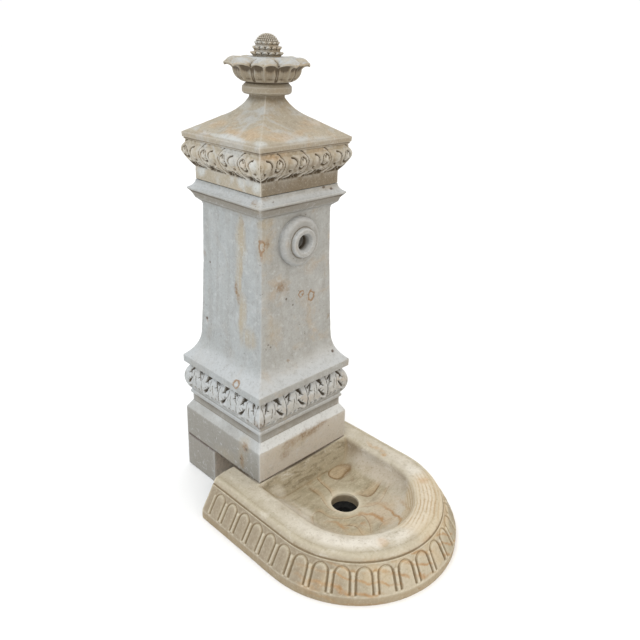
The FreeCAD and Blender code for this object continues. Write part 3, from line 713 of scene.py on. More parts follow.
def build_finial():
    z0, z1 = FINIAL_LOW[2], FINIAL_HIGH[2]
    profile = outline(
        to(60, z0), to(65, z0 + 4.5, 1.2, 3), to(65, 1177, 1.2, 3), to(56, 1186, 1, 2),
        to(54, 1189, 1, 1.5), via(80, 1198, 90, 1220, 0, 1.6), via(96, 1226, 110, 1227, 1, 1.4),
        via(PETAL_R, 1230, 110, 1233, 0, 1.2), via(100, 1245.5, 80, 1250, 0.5, 1.6),
        to(36, CONE_FOOT_Z, 0.6, 2.4), via(38, 1254, 44, 1259, 0.6, 1.0),
        to(43, 1261.5, 0.6, 1.0), to(33.5, 1262.5, 0.6, 1.6), via(34.5, 1267, 38.5, 1272, 0.6, 1.0),
        to(37.5, 1275, 0.6, 1.0), to(29.5, 1276, 0.6, 1.6), via(30, 1279.5, 33, 1283.5, 0.6, 0.9),
        to(32, 1286, 0.6, 0.9), to(30, DOME_Z, 0.3, 0.9), via(20, 1300.5, 0.5, z1, 0, 0.9))
    turn = np.arange(FINIAL_COLUMNS)[None, :] / FINIAL_COLUMNS * 2 * math.pi
    r = profile[:, 0][:, None] * np.ones_like(turn)
    z = profile[:, 1][:, None] * np.ones_like(turn)
    row = np.arange(len(profile))[:, None]
    r, z, petal_grime_and_shade = petal_shape(r, z, row, turn)
    r, z, cone_grime_and_shade = cone_shape(r, z, turn)
    r, z, dome_grime_and_shade = dome_shape(r, z, turn, z1)
    points = np.stack([r * np.cos(turn), r * np.sin(turn), z], -1)
    points = weathered(points, depth=0.5, seed=61, chip=0.4)
    radius = np.maximum(np.hypot(points[..., 0], points[..., 1]), 1e-9)
    points[..., :2] *= np.minimum(1, PETAL_R / radius)[..., None]
    points[0, :, 2] = z0
    points[..., 2] = np.minimum(points[..., 2], z1)
    values = surface_values(points, petal_grime_and_shade + cone_grime_and_shade + dome_grime_and_shade)
    values["wear_and_highlight"] = values["wear_and_highlight"] * (1 - 0.72 * smooth(1186, 1190, z) * smooth(1290, 1284, z))
    build_stone("carved_finial", "finial", "cap_stone", points, values)


# ---- basin
BASIN_CENTRE_Y = -370.0
BASIN_BACK_Y = -64.2
BOWL_BACK_Y = -177.0
DRAIN_Y = -345.5
DRAIN_R = 39.4
FLUTE_LINE_W = 263.0            # half width at which the flutes are spaced
FLUTES = 26
FLUTE_FIRST = 49.8              # centre of the first flute from the basin's back
FLUTE_RIB = 7.6                 # half the distance between two neighbouring grooves
FLUTE_CROWN = 70.75             # how far up the slope a flute's arch reaches
GROOVE_HALF = 3.9               # half the width of a groove
APRON_FOOT_W, APRON_FOOT_Z = 296.8, 26
APRON_RUN, APRON_RISE = 39.8, 69    # how far the apron leans inwards and how far it climbs
SLOPE_ROWS = 60
LIP_W, LIP_Z = 184, 113         # where the rim turns down into the bowl
BACK_RUN, BACK_FALL = 46, 57    # how far the bowl's back wall leans forward over its depth
FLOOR_Z, FLOOR_FALL = 61.5, 5.3     # edge of the bowl's floor, and its fall to the drain
FLOOR_ROWS = 10
SIDE_COLUMNS, ARC_COLUMNS, BACK_COLUMNS, CORNER_COLUMNS = 142, 396, 22, 4


def d_ring(w, back, corner):
    """Points round a D, anticlockwise from its left back corner."""
    corner = max(corner, 0.5)
    low = BASIN_CENTRE_Y
    flank = np.linspace(low, back - corner, SIDE_COLUMNS, endpoint=False)
    turn = np.linspace(math.pi, 2 * math.pi, ARC_COLUMNS, endpoint=False)
    quarter = np.linspace(0, math.pi / 2, CORNER_COLUMNS, endpoint=False)
    xs = [np.full(SIDE_COLUMNS, -w), w * np.cos(turn), np.full(SIDE_COLUMNS, w),
          w - corner + corner * np.cos(quarter),
          np.linspace(w - corner, corner - w, BACK_COLUMNS, endpoint=False),
          -(w - corner) - corner * np.sin(quarter)]
    ys = [np.linspace(back - corner, low, SIDE_COLUMNS, endpoint=False), low + w * np.sin(turn),
          flank, back - corner + corner * np.sin(quarter), np.full(BACK_COLUMNS, back),
          back - corner + corner * np.cos(quarter)]
    return np.column_stack([np.concatenate(xs), np.concatenate(ys)])


def at_height(flat, z):
    return np.column_stack([flat, np.full(len(flat), z)])


def flute_station():
    """Distance of each column along the flute line, -1 on the back; which columns lie on the
    bend, where the line's length grows with the half width; and the line's whole length."""
    straight = BASIN_BACK_Y - BASIN_CENTRE_Y
    down = np.linspace(0, straight, SIDE_COLUMNS, endpoint=False)
    bend = np.linspace(0, math.pi * FLUTE_LINE_W, ARC_COLUMNS, endpoint=False)
    rest = np.full(2 * CORNER_COLUMNS + BACK_COLUMNS, -1.0)
    station = np.concatenate([down, straight + bend,
                              straight + math.pi * FLUTE_LINE_W + down, rest])
    curved = np.concatenate([np.zeros(SIDE_COLUMNS), np.ones(ARC_COLUMNS),
                             np.zeros(SIDE_COLUMNS), rest * 0])
    total = 2 * straight + math.pi * FLUTE_LINE_W
    return station, curved, total


def flute_relief(w, t):
    """Height of the arched tongues, with grime and painted shade in their grooves; t is the
    distance up the slope of each row.
    """
    station, curved, total = flute_station()
    pitch = (total - 2 * FLUTE_FIRST) / (FLUTES - 1)
    local = (station - FLUTE_FIRST + pitch / 2) % pitch - pitch / 2
    index = np.round((station - FLUTE_FIRST) / pitch)
    real = (station >= 0) & (index >= 0) & (index < FLUTES)
    t = t[:, None]
    stretch = 1 + curved[None, :] * (w[:, None] / FLUTE_LINE_W - 1)
    x = local[None, :] * stretch
    rib = (pitch / 2) * stretch - np.abs(x)
    half = pitch / 2 - FLUTE_RIB
    spring = FLUTE_CROWN - half
    arch = np.abs(np.hypot(x, t - spring) - half)
    away = np.where(t < spring, np.abs(rib - FLUTE_RIB), arch)
    away = np.hypot(away, np.clip(6.5 - t, 0, None))
    inner = np.where(t < spring, rib > FLUTE_RIB, np.hypot(x, t - spring) < half)
    leg = smooth(72, 52, t)
    groove = np.clip(1 - (away / GROOVE_HALF) ** 2, 0, 1) * (1.8 + 2.0 * leg)
    pillow = inner * 1.5 * (1 - np.exp(-away / 5.0)) * smooth(2, 16, t)
    bar_end = np.clip(1 - (np.clip(t - 56, 0, None) / 5.0) ** 2 - (rib / 5.4) ** 2, 0, 1)
    bar = (~inner) * bar_end ** 0.5 * 2.2 * smooth(3, 8, t)
    sunk = (~inner) * smooth(54, 62, t) * smooth(79, 75, t) * 1.0
    height = (pillow + bar - groove - sunk) * real[None, :]
    # darker in the grooves, most down their legs: grime and painted shade
    grime_and_shade = np.clip(groove / 3.8, 0, 1) ** 2 * (0.3 + 0.65 * leg) * real[None, :]
    return height, grime_and_shade


def build_basin():
    foot = [(296.3, 0), (296.8, 1.5), (296.8, 13), (296.8, 24)]
    foot += [(APRON_FOOT_W - APRON_RUN * i / SLOPE_ROWS, APRON_FOOT_Z + APRON_RISE * i / SLOPE_ROWS)
             for i in range(SLOPE_ROWS + 1)]
    rings = [(w, z, BASIN_BACK_Y, 3) for w, z in foot]
    slope = slice(len(foot) - SLOPE_ROWS - 1, len(foot))
    edge = outline(to(257, 95), to(255.0, 94.6, 0, 2), to(253.2, 96.2, 0, 2),
                   to(253.6, 99, 1, 2), via(249.5, 107.5, 236, 112.2, 0, 2.6),
                   via(214, 116.2, 190, 114.0, 0, 3.4), via(180, 112, 173.5, 106.5, 0, 2.6),
                   via(150, 78, 118, FLOOR_Z, 0, 4.2))
    for w, z in edge[1:]:
        inwards = smooth(214, LIP_W, w)
        back = BASIN_BACK_Y + (BOWL_BACK_Y - BASIN_BACK_Y) * inwards
        back -= max(0.0, BACK_RUN * (LIP_Z - z) / BACK_FALL) if w < LIP_W else 0.0
        rings.append((w, min(z, BASIN_HIGH[2]), back, 3 + 4 * float(inwards)))
    loops = [at_height(d_ring(w, back, corner), z) for w, z, back, corner in rings]
    centre = np.array([0, DRAIN_Y])
    ray = loops[-1][:, :2] - centre
    unit = ray / np.linalg.norm(ray, axis=1, keepdims=True)
    reach = np.linalg.norm(ray, axis=1)
    for t in np.linspace(0, 1, FLOOR_ROWS + 1)[1:]:
        radius = reach + (DRAIN_R + 1.2 - reach) * t
        z = FLOOR_Z - FLOOR_FALL * (1 - (1 - t) ** 1.6)
        loops.append(at_height(centre + unit * radius[:, None], z))
    pocket = SEAL_HIGH[0] + 3
    drain = ((DRAIN_R, 54.4), (DRAIN_R, 41), (DRAIN_R, SEAL_HIGH[2]), (pocket, SEAL_HIGH[2]),
             (pocket, 0.0))
    loops += [at_height(centre + unit * radius, z) for radius, z in drain]
    points = np.stack(loops)
    w = np.array([r[0] for r in rings])
    distance = np.hypot(APRON_RUN, APRON_RISE) * np.arange(SLOPE_ROWS + 1) / SLOPE_ROWS
    height, grime_and_shade = flute_relief(w[slope], distance)
    normals = grid_normals(points)
    carved = np.zeros(points.shape[:2])
    carved[slope] = grime_and_shade
    above = np.arange(slope.stop, len(rings))
    # darker, browner stone down the rim's outer slope, and painted shade in the groove under the
    # rim's edge
    grimed_and_shaded = 0.2 * smooth(216, 240, w[above]) + 1.1 * bump(w[above] - 254.5, 2.4)
    carved[above] = grimed_and_shaded[:, None] * patchy(points[above], 60)
    relief = np.zeros(points.shape[:2])
    relief[slope] = height
    fitting = points[-len(drain):].copy()
    points = weathered(points + normals * relief[..., None], depth=0.8, seed=71, chip=0.9)
    points[..., 0] = np.clip(points[..., 0], BASIN_LOW[0], BASIN_HIGH[0])
    points[..., 1] = np.clip(points[..., 1], BASIN_LOW[1], BASIN_HIGH[1])
    points[..., 2] = np.minimum(points[..., 2], BASIN_HIGH[2])
    points[0, :, 2] = 0.0
    points[-len(drain):] = fitting
    values = surface_values(points, carved * 0.7)
    # the rim attribute: a painted highlight along the rim's crest, weaker towards the back, and the
    # bowl's upper walls made lighter towards the front
    values["rim"] = np.zeros(points.shape[:2])
    crest = smooth(34, 8, np.abs(w - 207))[:, None]
    crest = crest * (0.3 + 0.7 * smooth(-230, -520, points[:len(rings), :, 1]))
    walls = (0.3 * smooth(192, 178, w) * smooth(117, 135, w))[:, None]
    walls = walls * smooth(-225, -275, points[:len(rings), :, 1])
    values["rim"][:len(rings)] = np.clip(crest + walls, 0, 1)
    build_stone("carved_basin", "basin", "basin_stone", points, values, wrap=True)


# ---- materials
WIDE = 2400                     # mm, a radius so wide that only the height still counts


class Tree:
    """A small helper that builds a shader node tree."""

    def __init__(self, name):
        self.material = bpy.data.materials.new(name)
        self.material.use_nodes = True
        self.nodes = self.material.node_tree.nodes
        self.links = self.material.node_tree.links
        self.shader = self.nodes["Principled BSDF"]
        self.place = self.node("ShaderNodeTexCoord").outputs["Object"]
        self.base = None

    def node(self, kind, inputs=None, **settings):
        """A new node with its settings made and its named inputs fed."""
        made = self.nodes.new(kind)
        for key, value in settings.items():
            setattr(made, key, value)
        for key, value in (inputs or {}).items():
            self.feed(made.inputs[key], value)
        return made

    def feed(self, socket, value):
        if isinstance(value, bpy.types.NodeSocket):
            self.links.new(value, socket)
        elif value is not None:
            socket.default_value = value

    def math(self, operation, a, b=None):
        made = self.node("ShaderNodeMath", operation=operation)
        for socket, value in zip(made.inputs, (a, b)):
            self.feed(socket, value)
        return made.outputs[0]

    def times(self, first, *factors):
        for factor in factors:
            first = self.math("MULTIPLY", first, factor)
        return first

    def vector(self, operation, a, b=None):
        made = self.node("ShaderNodeVectorMath", operation=operation)
        self.feed(made.inputs[0], a)
        self.feed(made.inputs[1], b)
        return made.outputs["Value" if operation in ("LENGTH", "DOT_PRODUCT") else "Vector"]

    def scaled(self, factors):
        return self.vector("MULTIPLY", self.place, factors)

    def noise(self, size, detail=4, rough=0.55, distortion=0.0, vector=None):
        """Noise from 0 to 1 whose features are about size millimetres across."""
        made = self.node("ShaderNodeTexNoise", {
            "Vector": vector or self.place, "Scale": 1000.0 / size, "Detail": detail,
            "Roughness": rough, "Distortion": distortion})
        return made.outputs["Fac"]

    def between(self, value, low, high, to_low=0.0, to_high=1.0):
        """A value eased from to_low to to_high as it goes from low to high."""
        made = self.node("ShaderNodeMapRange", {
            "Value": value, "From Min": low, "From Max": high, "To Min": to_low,
            "To Max": to_high}, interpolation_type="SMOOTHSTEP")
        return made.outputs["Result"]

    def mix(self, amount, a, b, blend="MIX"):
        made = self.node("ShaderNodeMix", data_type="RGBA", blend_type=blend)
        for key, value in (("Factor", amount), ("A", colour(a)), ("B", colour(b))):
            self.feed(made.inputs[key], value)
        return made.outputs["Result"]

    def coat(self, tone, *masks):
        """Lays a colour over the base where every mask is high."""
        self.base = self.mix(self.times(*masks), self.base, tone)

    def tint(self, tone, *masks):
        """Multiplies the base by a colour where every mask is high."""
        self.base = self.mix(self.times(*masks), self.base, tone, "MULTIPLY")

    def attribute(self, name):
        return self.node("ShaderNodeAttribute", attribute_name=name).outputs["Fac"]

    def stirred(self, size, amount):
        """The place pushed about by noise, in millimetres, for ragged edges."""
        made = self.node("ShaderNodeTexNoise", {
            "Vector": self.place, "Scale": 1000.0 / size, "Detail": 4.0})
        push = self.vector("SUBTRACT", made.outputs["Color"], (0.5, 0.5, 0.5))
        push = self.vector("MULTIPLY", push, (amount * MM,) * 3)
        return self.vector("ADD", self.place, push)

    def away(self, place, centre, radii):
        """Distance from a point in millimetres, which is 1 on the ellipsoid of the radii."""
        off = self.vector("SUBTRACT", place, tuple(c * MM for c in centre))
        off = self.vector("MULTIPLY", off, tuple(1 / (r * MM) for r in radii))
        return self.vector("LENGTH", off)

    def spot(self, place, centre, radii, soft=0.7):
        """1 in the middle of an ellipsoid and 0 outside it."""
        return self.between(self.away(place, centre, radii), 1 - soft, 1, 1, 0)

    def level(self, z, half, soft, y=0):
        """1 at a height in millimetres and 0 further from it than half, all over the piece."""
        return self.spot(self.place, (0, y, z), (WIDE, WIDE, half), soft)

    def largest(self, first, *others):
        for other in others:
            first = self.math("MAXIMUM", first, other)
        return first

    def spots(self, place, *listed):
        """Spots of (centre, radii, strength) taken together."""
        return self.largest(*[self.times(self.spot(place, centre, radii), strength)
                              for centre, radii, strength in listed])

    def hoop(self, place, centre, radii):
        """A ring shaped stain: strong near the edge of the ellipsoid and clear inside it."""
        off = self.math("ABSOLUTE", self.math("SUBTRACT", self.away(place, centre, radii), 0.7))
        return self.between(off, 0.04, 0.30, 1, 0)

    def facing(self, direction, low, high):
        """How squarely a face looks in a direction, from 0 to 1."""
        normal = self.node("ShaderNodeTexCoord").outputs["Normal"]
        return self.between(self.vector("DOT_PRODUCT", normal, direction), low, high)

    def lines(self, value, count, width):
        """Thin lines along the contours of a value."""
        part = self.math("FRACT", self.math("MULTIPLY", value, count))
        off = self.math("ABSOLUTE", self.math("SUBTRACT", part, 0.5))
        return self.between(off, 0.0, width, 1, 0)

    def finish(self, base, roughness, bumps=()):
        """The material with its base colour, roughness and bumps of (height, millimetres)."""
        normal = None
        for height, distance in bumps:
            normal = self.node("ShaderNodeBump", {
                "Strength": 1.0, "Distance": distance * MM, "Height": height,
                "Normal": normal}).outputs["Normal"]
        for key, value in (("Base Color", colour(base)), ("Roughness", roughness),
                           ("Normal", normal)):
            self.feed(self.shader.inputs[key], value)
        return self.material


def colour(value):
    if isinstance(value, tuple) and len(value) == 3:
        return (*value, 1.0)
    return value


def grained(t, dark, dark_share, light, light_share, rubbed_and_highlit, rubbed_and_highlit_share):
    """Fine dark and light grain, and paler stone on the edges, rubbed and with a painted highlight;
    returns the grain.
    """
    specks = t.noise(6.5, 5, 0.8)
    t.coat(dark, t.between(specks, 0.52, 0.72, 0.0, dark_share))
    t.coat(light, t.between(specks, 0.48, 0.30, 0.0, light_share))
    t.coat(rubbed_and_highlit, t.attribute("wear_and_highlight"), rubbed_and_highlit_share)
    return specks


def grimed_and_shaded(t, thin, thin_from, thin_to, thick, thick_from, thick_to, thick_share):
    """Grime and painted shade in the hollows of the carving, thin at first and then thick."""
    cavity = t.attribute("cavity")
    t.coat(thin, t.between(cavity, thin_from, thin_to, 0.0, 0.5))
    t.coat(thick, t.between(cavity, thick_from, thick_to, 0.0, thick_share))


def stone(t, specks, rough_low, rough_high, *bumps):
    t.shader.inputs["Specular IOR Level"].default_value = 0.3
    return t.finish(t.base, t.between(specks, 0.2, 0.8, rough_low, rough_high),
                    [(specks, 0.8), *bumps])


def pillar_stone():
    """Cool grey sandstone with iron stains; painted highlight makes the upward faces paler and
    bluer, and painted shade makes the front faces darker and warmer.
    """
    t = Tree("pillar_stone")
    ragged = t.stirred(13, 18)
    wavy = t.stirred(60, 40)
    t.base = t.mix(t.noise(130, 5), (0.300, 0.318, 0.322), (0.365, 0.375, 0.365))
    t.coat((0.42, 0.435, 0.44), t.between(t.noise(45, 6, 0.6, 0.5), 0.42, 0.7, 0.0, 0.4))
    streaks = t.noise(26, 5, 0.6, 0.0, t.scaled((1, 1, 0.09)))
    t.coat((0.268, 0.266, 0.248), t.between(streaks, 0.42, 0.68, 0.0, 0.46))
    # painted highlight: upward faces paler and bluer
    t.coat((0.485, 0.50, 0.505), t.facing((0, 0, 1), 0.2, 0.62), 0.72)
    band = t.level(325, 38, 0.15)
    t.coat((0.52, 0.535, 0.535), band, 0.4)
    # painted shade: front faces tinted darker and warmer, with the stone's warm patches laid more
    # strongly on them
    front = t.facing((0, -1, 0), 0.75, 0.98)
    t.tint((1.0, 0.955, 0.905), front, 0.9)
    warm = t.between(t.noise(75, 6, 0.6, 0.7), 0.5, 0.74, 0.0, 0.4)
    t.coat((0.40, 0.31, 0.21), warm, t.math("ADD", front, 0.3))
    left = t.facing((-1, 0, 0), 0.6, 0.95)
    low_left = t.times(left, t.spot(t.place, (-180, 40, 110), (120, 420, 190), 0.5))
    t.coat((0.215, 0.194, 0.158), low_left, 0.76)
    plinth = t.times(front, t.spot(t.place, (0, -178, 150), (900, 60, 72), 0.2))
    t.coat((0.52, 0.465, 0.39), plinth, 0.75)
    # painted highlight on the upward-facing chamfer of the plinth, strongest in front
    ledge = t.times(t.facing((0, 0, 1), 0.28, 0.46), t.level(223, 17, 0.2))
    uneven = t.math("ADD", front, t.noise(60, 4))
    ledge = t.times(ledge, t.between(uneven, 0.2, 1.2, 0.05, 0.9))
    t.coat((0.61, 0.62, 0.61), ledge)
    # painted light on the shaded front face of the rear block, in the gap under the plinth
    inner = t.times(t.facing((0, -1, 0), 0.9, 1.0),
                    t.spot(t.place, (0, 36, 60), (900, 8, 90), 0.2))
    t.coat((0.66, 0.56, 0.46), inner, 0.9)
    boss = t.spot(t.place, (0, -150, 787), (78, 60, 78), 0.15)
    t.coat((0.235, 0.22, 0.20), boss, 0.3)
    rear = t.spot(wavy, (-150, 130, 40), (200, 260, 95), 0.15)
    rear = t.times(rear, t.between(t.noise(30, 5, 0.6, 0.8), 0.35, 0.6, 0.5, 1.0))
    t.coat((0.25, 0.228, 0.195), rear, 0.6)
    # painted shade under the moulding at the top of the shaft
    neck = t.spot(t.place, (0, 0, 888), (400, 400, 24), 0.5)
    t.coat((0.21, 0.193, 0.162), neck, 0.88)
    ochre = t.spots(wavy, ((-127, -45, 800), (40, 24, 90), 0.75),
                    ((-129, -38, 690), (40, 19, 130), 0.7), ((-133, -54, 575), (40, 26, 105), 0.8),
                    ((-136, -85, 520), (40, 40, 44), 0.6), ((-111, -127, 850), (34, 30, 26), 0.6),
                    ((-95, -134, 545), (40, 30, 60), 0.3), ((-120, -127, 800), (50, 30, 66), 0.35),
                    ((-175, -98, 160), (30, 34, 60), 0.45), ((-165, -108, 208), (30, 42, 34), 0.5),
                    ((-156, -134, 905), (50, 30, 26), 0.4),
                    ((-48, -175, 190), (115, 30, 32), 0.45), ((-175, -40, 135), (30, 90, 30), 0.3))
    ochre = t.times(ochre, t.between(streaks, 0.3, 0.62, 0.4, 1.0))
    t.coat((0.375, 0.295, 0.175), ochre, 0.85)
    rust = t.spots(ragged, ((-168, -168, 302), (30, 30, 22), 0.7),
                   ((-127, -51, 842), (10, 9, 13), 0.6), ((-130, -25, 650), (10, 10, 27), 1.0),
                   ((-131, -34, 625), (10, 10, 26), 0.85), ((-108, -128, 800), (13, 9, 19), 0.8),
                   ((-128, -128, 766), (9, 9, 20), 0.8), ((-60, -129, 670), (28, 9, 22), 0.9),
                   ((-42, -130, 655), (20, 9, 24), 0.35), ((-146, -122, 914), (14, 18, 11), 0.6),
                   ((-121, -139, 924), (20, 12, 9), 0.6), ((14, -175, 200), (72, 14, 22), 0.85),
                   ((58, -174, 207), (50, 14, 15), 0.8), ((-62, -175, 196), (44, 14, 22), 0.6),
                   ((-78, -175, 168), (30, 14, 26), 0.5), ((-175, -113, 205), (19, 19, 19), 1.0),
                   ((-175, -98, 152), (12, 13, 32), 0.85), ((-40, -144, 446), (9, 9, 8), 0.7),
                   ((-129, 119, 716), (8, 8, 10), 0.6), ((122, -134, 533), (8, 8, 14), 0.9),
                   ((-161, -110, 252), (12, 18, 9), 0.6), ((-135, 106, 516), (8, 8, 14), 0.8))
    hoops = t.largest(*[t.hoop(ragged, *ring) for ring in (
        ((-127, -127, 792), (14, 14, 25)), ((-176, -74, 393), (17, 16, 16)),
        ((53, -131, 616), (17, 12, 19)), ((14, -131, 630), (12, 12, 12)))])
    mottled = t.between(t.noise(9, 4, 0.7), 0.35, 0.65, 0.3, 1.0)
    t.coat((0.205, 0.118, 0.045), rust, mottled)
    t.coat((0.235, 0.125, 0.045), hoops, 0.85)
    # small brown stains, and a painted shadow along the bed joint at the plinth's foot
    brown = t.spots(t.place, ((-168, -168, 297), (15, 15, 11), 1.0),
                    ((-41, -131, 629), (5, 6, 5), 1.0), ((-17, -132, 606), (4, 6, 4), 0.8),
                    ((-135, 108, 520), (8, 7, 7), 1.0), ((-129, 94, 696), (6, 5, 5), 0.9),
                    ((130, -151, 422), (7, 8, 7), 1.0), ((81, -139, 924), (9, 9, 5), 1.0),
                    ((108, -143, 917), (9, 9, 5), 0.9), ((-109, -135, 514), (5, 7, 4), 0.7),
                    ((-101, -135, 505), (4, 7, 4), 0.7), ((-175, -118, 200), (7, 8, 7), 0.8),
                    ((-175, -92, 156), (5, 5, 5), 0.9), ((0, 0, 115), (WIDE, WIDE, 7), 1.0),
                    ((-175, 140, 115), (3, 60, 3), 0.8))
    t.coat((0.075, 0.045, 0.03), brown)
    t.coat((0.15, 0.13, 0.11), t.between(t.noise(10, 2, 0.5), 0.70, 0.78, 0.0, 0.7))
    dabs = t.noise(19, 5, 0.7, 0.4)
    t.coat((0.245, 0.235, 0.215), t.between(dabs, 0.54, 0.70, 0.0, 0.4))
    t.coat((0.50, 0.51, 0.51), t.between(dabs, 0.46, 0.32, 0.0, 0.4))
    specks = grained(t, (0.21, 0.20, 0.18), 0.6, (0.54, 0.55, 0.55), 0.26, (0.56, 0.565, 0.555),
                     0.4)
    grimed_and_shaded(t, (0.215, 0.19, 0.15), 0.05, 0.5, (0.09, 0.072, 0.05), 0.35, 0.95, 0.92)
    return stone(t, specks, 0.62, 0.82, (streaks, 0.5), (t.noise(18, 4), 0.6))


def cap_stone():
    """Warm sandstone washed with grey-blue bloom and ochre bands."""
    t = Tree("cap_stone")
    ragged = t.stirred(22, 20)
    wavy = t.stirred(90, 50)
    t.base = t.mix(t.noise(80, 5), (0.300, 0.262, 0.195), (0.42, 0.372, 0.292))
    swirl = t.noise(95, 5, 0.55, 1.6, t.scaled((1, 1, 1.8)))
    t.coat((0.42, 0.31, 0.20), t.between(swirl, 0.52, 0.66, 0.0, 0.5))
    bloom = t.between(t.noise(70, 6, 0.6, 0.8), 0.47, 0.66, 0.0, 0.62)
    t.coat((0.45, 0.47, 0.475), bloom)
    ochre = t.spots(wavy, ((-116, 60, 1082), (34, 34, 18), 0.5),
                    ((-130, -25, 1073), (30, 60, 14), 0.6), ((-128, -92, 1072), (34, 44, 14), 0.6),
                    ((-80, -132, 1072), (70, 34, 12), 0.5), ((70, -98, 1092), (60, 24, 12), 0.5),
                    ((0, -128, 1075), (90, 24, 10), 0.4), ((-120, -158, 1028), (46, 16, 14), 0.6),
                    ((40, -158, 1030), (70, 16, 12), 0.4))
    t.coat((0.43, 0.305, 0.18), ochre)
    pale = t.spots(ragged, ((-138, 112, 952), (10, 26, 22), 0.8),
                   ((-138, -62, 952), (10, 26, 22), 0.7), ((-138, -122, 950), (12, 24, 24), 0.75),
                   ((-161, -137, 1010), (12, 26, 20), 0.8),
                   ((-150, -20, 1060), (22, 110, 9), 0.65),
                   ((-148, -150, 1060), (26, 30, 12), 0.7), ((20, -152, 1059), (120, 20, 8), 0.3),
                   ((80, -100, 1088), (44, 24, 10), 0.25), ((-40, 40, 1138), (34, 46, 40), 0.4))
    t.coat((0.50, 0.52, 0.51), pale)
    # painted shade: front faces darker and warmer
    front = t.facing((0, -1, 0), 0.5, 0.95)
    t.tint((0.88, 0.82, 0.73), front, 0.85)
    # painted shade on the front of the frieze under the eave
    frieze = t.times(front, t.spot(t.place, (0, -140, 962), (330, 60, 66), 0.45))
    t.coat((0.15, 0.118, 0.078), frieze, 0.85)
    # painted shade on the collar and the underside of the petals, round the finial's neck
    neck = t.spot(t.place, (0, 0, 1180), (300, 300, 48), 0.4)
    t.coat((0.225, 0.188, 0.13), neck, 0.7)
    eave = t.level(1047, 13, 0.3)
    t.coat((0.23, 0.19, 0.135), eave, 0.4)
    # painted highlight: the petals' upward faces paler and bluer
    petals = t.times(t.facing((0, 0, 1), 0.35, 0.8),
                     t.spot(wavy, (0, 0, 1238), (150, 150, 24), 0.3))
    t.coat((0.41, 0.44, 0.46), petals, t.between(swirl, 0.40, 0.55, 0.1, 0.7))
    streaks = t.noise(18, 5, 0.6, 0.0, t.scaled((1, 1, 0.16)))
    t.coat((0.26, 0.22, 0.16), t.between(streaks, 0.5, 0.72, 0.0, 0.35))
    specks = grained(t, (0.185, 0.152, 0.105), 0.62, (0.56, 0.52, 0.44), 0.4, (0.57, 0.545, 0.49),
                     0.55)
    grimed_and_shaded(t, (0.215, 0.168, 0.11), 0.05, 0.5, (0.085, 0.062, 0.038), 0.35, 0.95, 0.9)
    return stone(t, specks, 0.62, 0.82, (t.noise(16, 4), 0.7))


